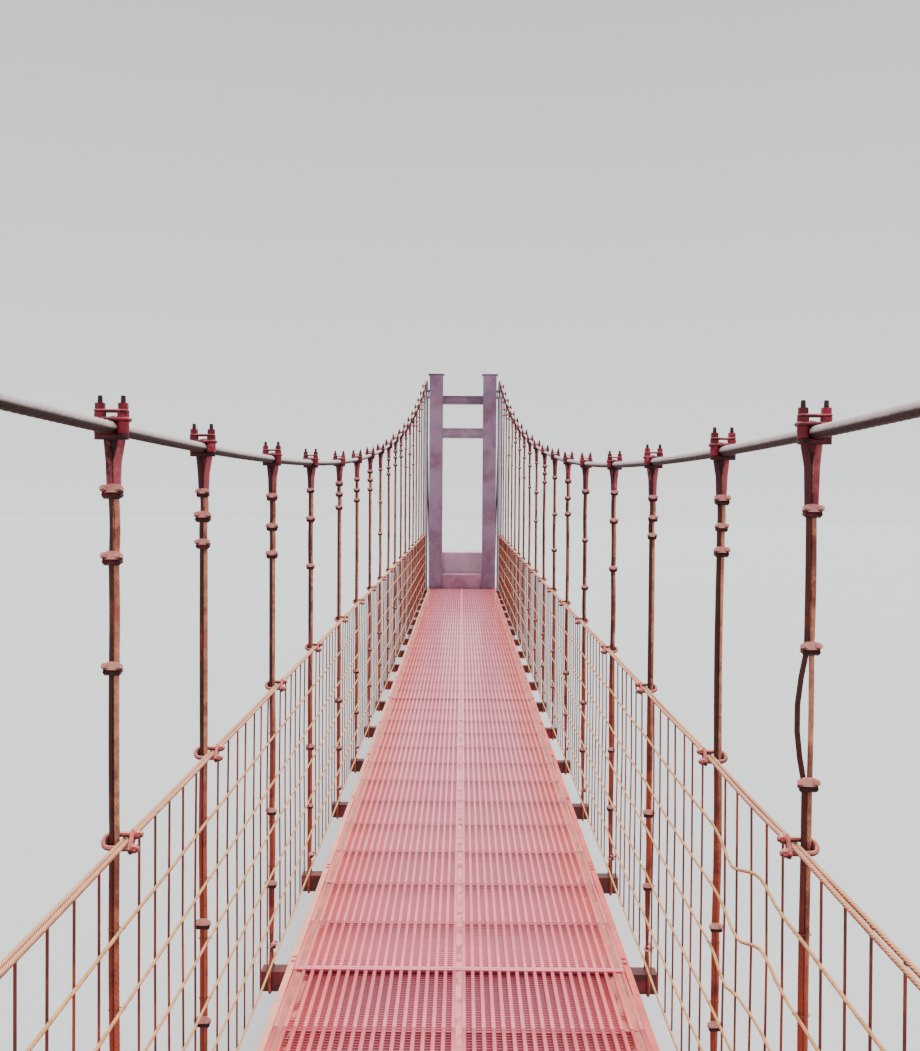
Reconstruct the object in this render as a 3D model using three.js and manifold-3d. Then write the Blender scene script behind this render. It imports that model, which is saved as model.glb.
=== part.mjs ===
// Suspension footbridge of wire rope and painted steel, in millimetres.
// X runs across the bridge, Y along it and Z up. The origin lies on the floor, under the middle of the span.

import * as THREE from 'three';
import { mergeVertices } from 'three/addons/utils/BufferGeometryUtils.js';
import Module from 'manifold-3d';

const wasm = await Module();
wasm.setup();

// Clearance between pieces that touch
const GAP = 0.3;
const OVERLAP = 5;

// Span and walkway
const BAY = 950;
const BAYS = 34;
const HALF_SPAN = (BAY * BAYS) / 2;
const LAST_HANGER = BAYS / 2 - 1;
const MIDDLE_HANGERS = 5;
const UNEVEN_HANGERS = new Map([[-1, -840], [0, -140], [1, 840], [2, 1780]]);
const MIDDLE_GRATING_BAYS = 6;
const DECK_TOP = 1000;
const DECK_WIDTH = 1200;
const GRATING_THICK = 30;
const EDGE_STRIP_WIDTH = 36;
const EDGE_STRIP_RISE = 4;
const EDGE_STRIP_HEIGHT = 40;
const BEAM_LENGTH = 1400;
const BEAM_WIDTH = 60;
const BEAM_HEIGHT = 70;
const END_BEAM_SETBACK = 250;
const BEAM_TOP = DECK_TOP - GRATING_THICK - GAP;

// Main cable, hangers and side wires, in the upright plane of each side
const NET_X = 667;
const CABLE_LOW = DECK_TOP + 1770;
const CABLE_SAG = 1970;
const CABLE_DIAMETER = 25;
const CABLE_SIDES = 8;
const HANGER_WIDTH = 22;
const HANGER_DEPTH = 12;
const CLAMP_WIDTH = 44;
const CLAMP_LENGTH = 56;
const CLAMP_HEIGHT = 50;
const CLAMP_CLEARANCE = 0.5;
const RAIL_HEIGHT = DECK_TOP + 980;
const RAIL_ROPE = 10;
const RAIL_BITE = 0.5;
const WIRE_SIZE = 8;
const WIRE_COUNT = 6;
const LOWEST_WIRE = DECK_TOP + 20;
const WIRE_SPACING = 158;

// Towers
const COLUMN_SIZE = 240;
const COLUMN_X = DECK_WIDTH / 2 - COLUMN_SIZE / 2;
const COLUMN_TOP = DECK_TOP + 3830;
const CAP_SIZE = 290;
const CAP_THICK = 16;
const BASE_PLATE_THICK = 20;
const BASE_PLATE_INNER = 362;
const BASE_PLATE_OUTER = 730;
const BASE_PLATE_LENGTH = 340;
const LINTEL_BOTTOM = DECK_TOP + 2700;
const LINTEL_HEIGHT = 180;
const TOP_BEAM_BOTTOM = DECK_TOP + 3310;
const TOP_BEAM_HEIGHT = 150;
const CROSS_BEAM_DEPTH = 120;
const POST_RADIUS = 45;
const POST_SIDES = 16;
const BRACKET_BOTTOM = DECK_TOP + 3430;
const BRACKET_HEIGHT = 130;
const BRACKET_FRONT = 120;
const BRACKET_BACK = 242;
const BRACKET_OUTER = 727;
const SADDLE_WIDTH = 60;
const SADDLE_RADIUS = 300;
const SADDLE_STEPS = 8;
const SADDLE_CLEARANCE = 0.5;

// Concrete
const ABUTMENT_TOP = BEAM_TOP - BEAM_HEIGHT - GAP;
const ABUTMENT_HALF_WIDTH = 950;
const ABUTMENT_FRONT = HALF_SPAN - 500;
const ABUTMENT_BACK = HALF_SPAN + 1400;
const STEP_RISE = 250;
const STEP_DEPTH = 350;
const LANDING_RISE = 630;
const LANDING_HALF_WIDTH = 600;
const LANDING_BACK = HALF_SPAN + 1350;

// Backstays and their anchor blocks
const STAY_ANGLE = THREE.MathUtils.degToRad(57);
const STAY_END_HEIGHT = 450;
const ANCHOR_WIDTH = 700;
const ANCHOR_FACE_HALF = 180;
const ANCHOR_TOE = 240;
const ANCHOR_HEEL = 310;

// Places that follow from the sizes above
const COLUMN_FRONT = HALF_SPAN - COLUMN_SIZE / 2;
const DECK_END = COLUMN_FRONT - 10;
const DOOR_HALF_WIDTH = COLUMN_X - COLUMN_SIZE / 2 - GAP;
const SPAN_ANGLE = Math.atan((2 * CABLE_SAG) / HALF_SPAN);
const POST_FACE = HALF_SPAN - POST_RADIUS - GAP;

// Finishes
const PAINT_RED = new THREE.MeshStandardMaterial({ color: 0xa8585a, roughness: 0.6, metalness: 0.1 });
const TOWER_RED = new THREE.MeshStandardMaterial({ color: 0x7a3a40, roughness: 0.6, metalness: 0.1 });
const GRATING_RED = new THREE.MeshStandardMaterial({ color: 0xc87f83, roughness: 0.7, metalness: 0.1 });
const ROPE_BROWN = new THREE.MeshStandardMaterial({ color: 0x6b5a55, roughness: 0.6, metalness: 0.5 });
const WIRE_TAN = new THREE.MeshStandardMaterial({ color: 0xb0997a, roughness: 0.6, metalness: 0.4 });
const ZINC_GREY = new THREE.MeshStandardMaterial({ color: 0x9da3ad, roughness: 0.45, metalness: 0.6 });
const CONCRETE = new THREE.MeshStandardMaterial({ color: 0xa89196, roughness: 0.9, metalness: 0 });

const bridge = new THREE.Group();

// Solids: closed geometries that are joined or cut

function solidOf(geometry) {
  const bare = geometry.clone();
  bare.deleteAttribute('normal');
  bare.deleteAttribute('uv');
  const merged = mergeVertices(bare);
  return new wasm.Manifold(new wasm.Mesh({
    numProp: 3,
    vertProperties: new Float32Array(merged.attributes.position.array),
    triVerts: new Uint32Array(merged.index.array),
  }));
}

function joined(geometries) {
  const solid = geometries.map(solidOf).reduce((whole, piece) => whole.add(piece));
  const mesh = solid.getMesh();
  const geometry = new THREE.BufferGeometry();
  geometry.setAttribute('position', new THREE.BufferAttribute(mesh.vertProperties, 3));
  geometry.setIndex(new THREE.BufferAttribute(mesh.triVerts, 1));
  geometry.computeVertexNormals();
  return geometry;
}

// A box given by its lowest and highest corners
function block(low, high) {
  const [dx, dy, dz] = high.map((value, axis) => value - low[axis]);
  const geometry = new THREE.BoxGeometry(dx, dy, dz);
  return geometry.translate(low[0] + dx / 2, low[1] + dy / 2, low[2] + dz / 2);
}

// A box that lies across the bridge's middle line or on one side of it, with its ends along Y in either order
function blockBetween(x0, x1, y0, y1, z0, z1) {
  const low = [Math.min(x0, x1), Math.min(y0, y1), z0];
  const high = [Math.max(x0, x1), Math.max(y0, y1), z1];
  return block(low, high);
}

// A side view, given as [along, up] points, made into a plate of the given width across the bridge
function sideProfile(points, middle, width) {
  const shape = new THREE.Shape(points.map(([along, up]) => new THREE.Vector2(along, up)));
  const geometry = new THREE.ExtrudeGeometry(shape, { depth: width, bevelEnabled: false });
  const alongToY = new THREE.Matrix4().makeBasis(
    new THREE.Vector3(0, 1, 0),
    new THREE.Vector3(0, 0, 1),
    new THREE.Vector3(1, 0, 0),
  );
  return geometry.applyMatrix4(alongToY).translate(middle - width / 2, 0, 0);
}

function addPiece(name, geometry, material, along = 0) {
  const mesh = new THREE.Mesh(geometry, material);
  mesh.name = name;
  mesh.position.y = along;
  bridge.add(mesh);
}

// Place of a hanger along the bridge: evenly spaced, but for a few near the middle
function stationOf(number) {
  return UNEVEN_HANGERS.get(number) ?? number * BAY;
}

// Main cable: anchor, straight backstay, saddle, parabola, saddle, backstay, anchor

function cableHeight(along) {
  return CABLE_LOW + CABLE_SAG * (along / HALF_SPAN) ** 2;
}

function cableAngle(along) {
  return Math.atan((2 * CABLE_SAG * along) / HALF_SPAN ** 2);
}

const SADDLE_START = HALF_SPAN - SADDLE_RADIUS * Math.sin(SPAN_ANGLE);
const SADDLE_CENTRE_Z = cableHeight(SADDLE_START) - SADDLE_RADIUS * Math.cos(SPAN_ANGLE);

// Points of the saddle's arc in side view, from the span's side to the backstay's side
function saddleArc(radius) {
  const points = [];
  for (let step = 0; step <= SADDLE_STEPS; step += 1) {
    const turn = -SPAN_ANGLE + ((SPAN_ANGLE + STAY_ANGLE) * step) / SADDLE_STEPS;
    points.push([HALF_SPAN + radius * Math.sin(turn), SADDLE_CENTRE_Z + radius * Math.cos(turn)]);
  }
  return points;
}

function stayEnd(shortBy) {
  const [startY, startZ] = saddleArc(SADDLE_RADIUS).at(-1);
  const length = (startZ - STAY_END_HEIGHT) / Math.sin(STAY_ANGLE) - shortBy;
  return [startY + length * Math.cos(STAY_ANGLE), startZ - length * Math.sin(STAY_ANGLE)];
}

// A curve through given points whose steps fall on those points
class StationCurve extends THREE.Curve {
  constructor(points) {
    super();
    this.points = points;
  }

  getPoint(t, target = new THREE.Vector3()) {
    const last = this.points.length - 1;
    const from = Math.min(Math.floor(t * last), last - 1);
    return target.lerpVectors(this.points[from], this.points[from + 1], t * last - from);
  }

  getUtoTmapping(u) {
    return u;
  }
}

function cableStations() {
  const span = [];
  for (let number = -LAST_HANGER; number <= LAST_HANGER; number += 1) {
    span.push([stationOf(number), cableHeight(stationOf(number))]);
  }
  const farEnd = [...saddleArc(SADDLE_RADIUS), stayEnd(GAP)];
  const nearEnd = [...farEnd].reverse().map(([along, up]) => [-along, up]);
  return [...nearEnd, ...span, ...farEnd];
}

// A regular outline whose flat sides face along and across
function flatSidedOutline(across, sides) {
  const radius = across / 2 / Math.cos(Math.PI / sides);
  const corners = [];
  for (let side = 0; side < sides; side += 1) {
    const turn = ((side + 0.5) * 2 * Math.PI) / sides;
    corners.push(new THREE.Vector2(radius * Math.cos(turn), radius * Math.sin(turn)));
  }
  return new THREE.Shape(corners);
}

function mainCable(side) {
  const stations = cableStations();
  const path = new StationCurve(stations.map(([along, up]) => new THREE.Vector3(side * NET_X, along, up)));
  return new THREE.ExtrudeGeometry(flatSidedOutline(CABLE_DIAMETER, CABLE_SIDES), {
    steps: stations.length - 1,
    extrudePath: path,
  });
}

// Hangers: each is a doubled rope, with a clamp under the main cable, over the end of a cross-beam

function hanger(side, number, middle) {
  const along = stationOf(number);
  const slope = cableAngle(along);
  const drop = CABLE_DIAMETER / 2 + CLAMP_CLEARANCE + CLAMP_HEIGHT / 2;
  const clampY = along + drop * Math.sin(slope);
  const clampZ = cableHeight(along) - drop * Math.cos(slope);
  const clamp = new THREE.BoxGeometry(CLAMP_WIDTH, CLAMP_LENGTH, CLAMP_HEIGHT);
  clamp.rotateX(slope).translate(side * NET_X, clampY - middle, clampZ);
  const halfWidth = HANGER_WIDTH / 2;
  const halfDepth = HANGER_DEPTH / 2;
  const bar = block(
    [side * NET_X - halfWidth, along - middle - halfDepth, BEAM_TOP + GAP],
    [side * NET_X + halfWidth, along - middle + halfDepth, clampZ],
  );
  return [clamp, bar];
}

// The handrail is a pair of ropes side by side on the inner face of the hangers
function railRopes(side, from, to) {
  const outerFace = NET_X - HANGER_WIDTH / 2 + RAIL_BITE;
  const innerFace = outerFace - 2 * RAIL_ROPE + RAIL_BITE;
  const half = RAIL_ROPE / 2;
  return [blockBetween(side * innerFace, side * outerFace, from, to, RAIL_HEIGHT - half, RAIL_HEIGHT + half)];
}

function hangersWithRail(side, first, last, from, to) {
  const middle = ((first + last) / 2) * BAY;
  const pieces = railRopes(side, from - middle, to - middle);
  for (let number = first; number <= last; number += 1) {
    pieces.push(...hanger(side, number, middle));
  }
  return { geometry: joined(pieces), middle };
}

function sideWire(side, row) {
  const half = WIRE_SIZE / 2;
  const x = side * (NET_X - HANGER_WIDTH / 2 - GAP - half);
  const z = LOWEST_WIRE + row * WIRE_SPACING;
  return block([x - half, -POST_FACE, z - half], [x + half, POST_FACE, z + half]);
}

// Deck: gratings on a ladder of cross-beams and edge strips

function deckFrame(first, last, from, to, endBeamAt) {
  const middle = (from + to) / 2;
  const outer = DECK_WIDTH / 2;
  const stripTop = DECK_TOP + EDGE_STRIP_RISE;
  const pieces = [-1, 1].map((side) => blockBetween(
    side * outer,
    side * (outer - EDGE_STRIP_WIDTH),
    from - middle,
    to - middle,
    stripTop - EDGE_STRIP_HEIGHT,
    stripTop,
  ));
  const places = [];
  for (let number = first; number <= last; number += 1) {
    places.push(stationOf(number));
  }
  places.push(...endBeamAt);
  for (const place of places) {
    pieces.push(block(
      [-BEAM_LENGTH / 2, place - middle - BEAM_WIDTH / 2, BEAM_TOP - BEAM_HEIGHT],
      [BEAM_LENGTH / 2, place - middle + BEAM_WIDTH / 2, BEAM_TOP],
    ));
  }
  return { geometry: joined(pieces), middle };
}

function grating(from, to) {
  const half = DECK_WIDTH / 2 - EDGE_STRIP_WIDTH - GAP;
  return block([-half, from, DECK_TOP - GRATING_THICK], [half, to, DECK_TOP]);
}

// Towers: a column each side with a bracket and saddle for the cable, on a pale pipe post

function saddle(side, end) {
  const top = saddleArc(SADDLE_RADIUS - CABLE_DIAMETER / 2 - SADDLE_CLEARANCE);
  const bottom = BRACKET_BOTTOM + BRACKET_HEIGHT - OVERLAP;
  const outline = [[top[0][0], bottom], ...top, [top.at(-1)[0], bottom]];
  return sideProfile(outline.map(([along, up]) => [end * along, up]), side * NET_X, SADDLE_WIDTH);
}

function column(side, end) {
  const half = COLUMN_SIZE / 2;
  const inner = COLUMN_X - half;
  const outer = COLUMN_X + half;
  const footTop = ABUTMENT_TOP + GAP + BASE_PLATE_THICK;
  const middle = end * HALF_SPAN;
  const plate = blockBetween(
    side * BASE_PLATE_INNER,
    side * BASE_PLATE_OUTER,
    middle - BASE_PLATE_LENGTH / 2,
    middle + BASE_PLATE_LENGTH / 2,
    ABUTMENT_TOP + GAP,
    footTop,
  );
  const shaft = blockBetween(
    side * inner,
    side * outer,
    middle - half,
    middle + half,
    footTop - OVERLAP,
    COLUMN_TOP,
  );
  const cap = blockBetween(
    side * (COLUMN_X - CAP_SIZE / 2),
    side * (COLUMN_X + CAP_SIZE / 2),
    middle - CAP_SIZE / 2,
    middle + CAP_SIZE / 2,
    COLUMN_TOP - OVERLAP,
    COLUMN_TOP + CAP_THICK,
  );
  const bracket = blockBetween(
    side * (outer - OVERLAP),
    side * BRACKET_OUTER,
    end * (HALF_SPAN - BRACKET_FRONT),
    end * (HALF_SPAN + BRACKET_BACK),
    BRACKET_BOTTOM,
    BRACKET_BOTTOM + BRACKET_HEIGHT,
  );
  return joined([plate, shaft, cap, bracket, saddle(side, end)]);
}

function pipePost(side, end) {
  const bottom = ABUTMENT_TOP + GAP + BASE_PLATE_THICK + GAP;
  const height = BRACKET_BOTTOM - GAP - bottom;
  const geometry = new THREE.CylinderGeometry(POST_RADIUS, POST_RADIUS, height, POST_SIDES);
  return geometry.rotateX(Math.PI / 2).translate(side * NET_X, end * HALF_SPAN, bottom + height / 2);
}

function towerBeam(end, bottom, height) {
  const middle = end * HALF_SPAN;
  const half = CROSS_BEAM_DEPTH / 2;
  return block([-DOOR_HALF_WIDTH, middle - half, bottom], [DOOR_HALF_WIDTH, middle + half, bottom + height]);
}

// Concrete: abutment, step and landing, and the blocks that hold the backstays

function abutment(end) {
  return blockBetween(
    -ABUTMENT_HALF_WIDTH,
    ABUTMENT_HALF_WIDTH,
    end * ABUTMENT_FRONT,
    end * ABUTMENT_BACK,
    0,
    ABUTMENT_TOP,
  );
}

function landing(end) {
  const bottom = ABUTMENT_TOP + GAP;
  const stepBack = COLUMN_FRONT + STEP_DEPTH;
  const step = blockBetween(
    -DOOR_HALF_WIDTH,
    DOOR_HALF_WIDTH,
    end * COLUMN_FRONT,
    end * (stepBack + OVERLAP),
    bottom,
    DECK_TOP + STEP_RISE,
  );
  const top = blockBetween(
    -LANDING_HALF_WIDTH,
    LANDING_HALF_WIDTH,
    end * stepBack,
    end * LANDING_BACK,
    bottom,
    DECK_TOP + LANDING_RISE,
  );
  return joined([step, top]);
}

// The block's sloping face lies square to the backstay, which ends on it
function anchorBlock(side, end) {
  const [faceY, faceZ] = stayEnd(0);
  const alongFace = [Math.sin(STAY_ANGLE) * ANCHOR_FACE_HALF, Math.cos(STAY_ANGLE) * ANCHOR_FACE_HALF];
  const low = [faceY - alongFace[0], faceZ - alongFace[1]];
  const high = [faceY + alongFace[0], faceZ + alongFace[1]];
  const outline = [
    [low[0] - ANCHOR_TOE, 0],
    [high[0] + ANCHOR_HEEL, 0],
    [high[0] + ANCHOR_HEEL, high[1]],
    high,
    low,
    [low[0] - ANCHOR_TOE, low[1]],
  ];
  return sideProfile(outline.map(([along, up]) => [end * along, up]), side * NET_X, ANCHOR_WIDTH);
}

// Assembly

const SIDES = [['left', -1], ['right', 1]];
const ENDS = [['near', -1], ['far', 1]];

// Lengths of the hangers, the handrail and the deck frame, parted half-way between two hangers
const NET_BREAK = (MIDDLE_HANGERS + 0.5) * BAY;
const NET_LENGTHS = [
  ['near', -LAST_HANGER, -MIDDLE_HANGERS - 1, -POST_FACE, -NET_BREAK - GAP / 2],
  ['middle', -MIDDLE_HANGERS, MIDDLE_HANGERS, -NET_BREAK + GAP / 2, NET_BREAK - GAP / 2],
  ['far', MIDDLE_HANGERS + 1, LAST_HANGER, NET_BREAK + GAP / 2, POST_FACE],
];

for (const [sideName, side] of SIDES) {
  addPiece(`${sideName}_main_cable`, mainCable(side), ROPE_BROWN);
  for (const [place, first, last, from, to] of NET_LENGTHS) {
    const { geometry, middle } = hangersWithRail(side, first, last, from, to);
    addPiece(`${sideName}_hangers_and_rail_${place}`, geometry, PAINT_RED, middle);
  }
  for (let row = 0; row < WIRE_COUNT; row += 1) {
    addPiece(`${sideName}_side_wire_${row + 1}`, sideWire(side, row), WIRE_TAN);
  }
}

for (const [place, first, last, from, to] of NET_LENGTHS) {
  const start = place === 'near' ? -DECK_END : from;
  const stop = place === 'far' ? DECK_END : to;
  const endBeams = { near: [END_BEAM_SETBACK - HALF_SPAN], middle: [], far: [HALF_SPAN - END_BEAM_SETBACK] };
  const { geometry, middle } = deckFrame(first, last, start, stop, endBeams[place]);
  addPiece(`deck_frame_${place}`, geometry, PAINT_RED, middle);
}

const GRATING_BREAK = MIDDLE_GRATING_BAYS * BAY;
addPiece('deck_grating_near', grating(-DECK_END, -GRATING_BREAK - GAP / 2), GRATING_RED);
addPiece('deck_grating_middle', grating(-GRATING_BREAK + GAP / 2, GRATING_BREAK - GAP / 2), GRATING_RED);
addPiece('deck_grating_far', grating(GRATING_BREAK + GAP / 2, DECK_END), GRATING_RED);

for (const [endName, end] of ENDS) {
  addPiece(`${endName}_abutment`, abutment(end), CONCRETE);
  addPiece(`${endName}_landing_steps`, landing(end), CONCRETE);
  addPiece(`${endName}_tower_lintel`, towerBeam(end, LINTEL_BOTTOM, LINTEL_HEIGHT), TOWER_RED);
  addPiece(`${endName}_tower_top_beam`, towerBeam(end, TOP_BEAM_BOTTOM, TOP_BEAM_HEIGHT), TOWER_RED);
  for (const [sideName, side] of SIDES) {
    addPiece(`${endName}_${sideName}_tower_column`, column(side, end), TOWER_RED);
    addPiece(`${endName}_${sideName}_pipe_post`, pipePost(side, end), ZINC_GREY);
    addPiece(`${endName}_${sideName}_anchor_block`, anchorBlock(side, end), CONCRETE);
  }
}

export default bridge;
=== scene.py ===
import math
import random
from bisect import bisect_right
from functools import partial

import bmesh
import bpy
from bpy.props import FloatProperty, FloatVectorProperty, PointerProperty
from bpy.types import Operator, Panel, PropertyGroup
from mathutils import Matrix, Vector


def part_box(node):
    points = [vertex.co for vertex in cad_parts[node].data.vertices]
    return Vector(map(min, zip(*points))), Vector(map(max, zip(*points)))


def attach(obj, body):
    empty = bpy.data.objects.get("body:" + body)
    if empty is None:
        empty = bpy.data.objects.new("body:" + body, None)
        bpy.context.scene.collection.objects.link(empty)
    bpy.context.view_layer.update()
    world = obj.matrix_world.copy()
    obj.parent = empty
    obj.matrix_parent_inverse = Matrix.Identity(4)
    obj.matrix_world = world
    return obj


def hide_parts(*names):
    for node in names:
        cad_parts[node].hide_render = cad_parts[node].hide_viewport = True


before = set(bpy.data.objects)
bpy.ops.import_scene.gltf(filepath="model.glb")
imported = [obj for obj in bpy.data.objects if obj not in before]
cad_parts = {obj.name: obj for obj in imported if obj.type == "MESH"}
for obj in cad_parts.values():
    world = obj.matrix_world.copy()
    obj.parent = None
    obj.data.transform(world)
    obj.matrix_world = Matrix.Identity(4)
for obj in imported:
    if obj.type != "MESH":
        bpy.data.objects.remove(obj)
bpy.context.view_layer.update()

bl_info = {
    "name": "Rope suspension footbridge",
    "version": (1, 0, 0),
    "blender": (4, 5, 0),
    "location": "View3D > Sidebar > Footbridge",
    "description": "Dresses a steel rope footbridge: ropes, clips, gratings, towers and concrete",
    "category": "Add Mesh",
}

# Places taken from the frame, in metres

BODY = "root"
SIDES = (("left", -1), ("right", 1))
ENDS = (("near", -1), ("far", 1))
THIRDS = ("near", "middle", "far")


def middle(node, axis):
    low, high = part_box(node)
    return (low[axis] + high[axis]) / 2


def extent(node, axis):
    low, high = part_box(node)
    return high[axis] - low[axis]


DECK_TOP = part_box("deck_grating_middle")[1][2]
DECK_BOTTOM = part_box("deck_grating_middle")[0][2]
DECK_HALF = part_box("deck_frame_middle")[1][0]
DECK_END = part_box("deck_grating_far")[1][1]
NET_X = middle("right_main_cable", 0)
CABLE_RADIUS = extent("right_main_cable", 0) / 2
HALF_SPAN = middle("far_right_pipe_post", 1)
POST_RADIUS = extent("far_right_pipe_post", 0) / 2
WIRE_RADIUS = extent("right_side_wire_1", 0) / 2
WIRE_X = middle("right_side_wire_1", 0)

# Sizes that the frame doesn't give, the same as in the solids

BAY = 0.95
LAST_HANGER = 16
UNEVEN_HANGERS = {-1: -0.84, 0: -0.14, 1: 0.84, 2: 1.78}
HANGERS = {n: UNEVEN_HANGERS.get(n, n * BAY) for n in range(-LAST_HANGER, LAST_HANGER + 1)}
CABLE_LOW = DECK_TOP + 1.77
CABLE_SAG = 1.97
SADDLE_RADIUS = 0.3
STAY_ANGLE = math.radians(57)
STAY_END_HEIGHT = 0.45
HANGER_RADIUS = 0.0056
PAIR_OFFSET = 0.0049
RAIL_Z = DECK_TOP + 0.98
RAIL_ROPE_RADIUS = 0.0048
RAIL_OUTER_X = NET_X - PAIR_OFFSET - HANGER_RADIUS - RAIL_ROPE_RADIUS
RAIL_INNER_X = RAIL_OUTER_X - 2 * RAIL_ROPE_RADIUS
GAP = 0.0003
BEAM_TOP = DECK_BOTTOM - GAP
BEAM_HEIGHT = 0.07
BEAM_WIDTH = 0.06
WALKWAY_HALF = 0.6
EDGE_STRIP = 0.022
EDGE_TOP = DECK_TOP + 0.004


def cable_height(along):
    return CABLE_LOW + CABLE_SAG * (along / HALF_SPAN) ** 2


def cable_slope(along):
    return math.atan(2 * CABLE_SAG * along / HALF_SPAN ** 2)


# Sizes and colours that a user would change

def length(name, text, value):
    return FloatProperty(name=name, description=text, default=value, min=0.0, unit="LENGTH")


def colour(name, text, value):
    return FloatVectorProperty(name=name, description=text, default=value, size=3, min=0.0, max=1.0,
                               subtype="COLOR")


class FootbridgeSizes(PropertyGroup):
    cable_lay: length("Cable lay", "Length of one turn of the main cable's strands", 0.17)
    rope_lay: length("Rope lay", "Length of one turn of a hanger's strands", 0.07)
    bar_pitch: length("Bar pitch", "Spacing of the grating's lengthwise bars", 0.0305)
    bar_width: length("Bar width", "Thickness of a lengthwise bar", 0.013)
    flat_pitch: length("Flat pitch", "Spacing of the grating's cross flats", 0.0165)
    fence_pitch: length("Fence pitch", "Spacing of the thin upright fence wires", 0.117)
    left_slack: length("Left slack", "How far a wire of the left side wanders between hangers", 0.003)
    right_slack: length("Right slack", "How far a wire of the right side wanders between hangers", 0.007)


class FootbridgeColours(PropertyGroup):
    grating: colour("Grating", "Faded paint of the walkway", (0.74, 0.085, 0.15))
    grating_edge: colour("Grating edges", "Paint of the walkway away from its middle", (0.90, 0.10, 0.085))
    # The hollows are lighter than the tops: painted light that lifts the shade down between the bars.
    hollow: colour("Hollows", "Sides of the grating's bars, below their tops", (0.66, 0.25, 0.31))
    ironwork: colour("Ironwork", "Paint of the clamps on the main cable", (0.32, 0.024, 0.042))
    clip: colour("Clips", "Paint of the rope clips", (0.60, 0.23, 0.18))
    rail_clamp: colour("Rail clamps", "Paint of the clamps on the handrail", (0.56, 0.12, 0.10))
    # The beams' near-black red-brown is partly rust and partly painted shade under the deck.
    beam: colour("Beams", "Rusty cross-beams under the deck", (0.10, 0.022, 0.020))
    left_edge: colour("Left edge", "Edge strip on the left", (0.82, 0.22, 0.16))
    right_edge: colour("Right edge", "Edge strip on the right", (0.70, 0.085, 0.06))
    # The left strand's dark colour is painted shade and the right strand's pale one painted light, across
    # the doubled rope.
    hanger: colour("Hanger", "Darker strand of a hanger", (0.060, 0.018, 0.015))
    hanger_pale: colour("Pale hanger", "Paler strand of a hanger", (0.62, 0.25, 0.155))
    # The towers' greyish mauve is paler than their red paint: painted light for the mist before them and the
    # shade on their fronts.
    tower: colour("Tower", "Dull paint of the towers", (0.25, 0.15, 0.235))
    cable: colour("Cable", "Weathered main cable", (0.30, 0.24, 0.235))
    rail: colour("Handrail", "Handrail ropes", (0.74, 0.27, 0.13))
    wire: colour("Side wires", "Bright side wires", (0.80, 0.33, 0.12))
    fence: colour("Fence", "Thin upright fence wires", (0.16, 0.036, 0.026))
    rust: colour("Rust", "Rust on every steel piece", (0.16, 0.05, 0.02))
    dirt: colour("Dirt", "Dirt caked between the bars", (0.46, 0.14, 0.09))
    zinc: colour("Zinc", "Galvanised pipe", (0.46, 0.47, 0.54))
    concrete: colour("Concrete", "Cast concrete", (0.55, 0.37, 0.46))
    floor: colour("Floor", "Studio floor", (0.50, 0.51, 0.51))


# Shader trees

class Signal:
    """A socket of a shader tree, with arithmetic that adds Math nodes."""

    def __init__(self, owner, socket):
        self.owner = owner
        self.socket = socket

    def math(self, operation, *values):
        inputs = dict(enumerate((self, *values)))
        return self.owner.node("ShaderNodeMath", {"operation": operation}, inputs)

    def __add__(self, other):
        return self.math("ADD", other)

    __radd__ = __add__

    def __mul__(self, other):
        return self.math("MULTIPLY", other)

    __rmul__ = __mul__

    def __sub__(self, other):
        return self.math("SUBTRACT", other)

    def __rsub__(self, other):
        return self.owner.node("ShaderNodeMath", {"operation": "SUBTRACT"}, {0: other, 1: self})

    def __truediv__(self, other):
        return self.math("DIVIDE", other)

    def __pow__(self, other):
        return self.math("POWER", other)

    def __abs__(self):
        return self.math("ABSOLUTE")

    def band(self, low, high, kind="SMOOTHSTEP"):
        """0 below low, 1 above high, and smooth or linear between them."""
        inputs = {"Value": self, "From Min": low, "From Max": high, "To Min": 0.0, "To Max": 1.0}
        return self.owner.node("ShaderNodeMapRange", {"interpolation_type": kind}, inputs)


class Shading:
    """A shader tree whose nodes are added one by one."""

    def __init__(self, tree):
        self.tree = tree

    def node(self, kind, settings=None, inputs=None, output=0):
        node = self.tree.nodes.new(kind)
        for key, value in (settings or {}).items():
            setattr(node, key, value)
        for key, value in (inputs or {}).items():
            if isinstance(value, Signal):
                self.tree.links.new(value.socket, node.inputs[key])
            else:
                node.inputs[key].default_value = value
        return Signal(self, node.outputs[output])

    def part(self, vector, name):
        return self.node("ShaderNodeSeparateXYZ", inputs={"Vector": vector}, output=name)

    def mix(self, factor, first, second):
        settings = {"data_type": "RGBA", "clamp_factor": True}
        ends = {0: factor, 6: rgba(first), 7: rgba(second)}
        return self.node("ShaderNodeMix", settings, ends, output=2)


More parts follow.
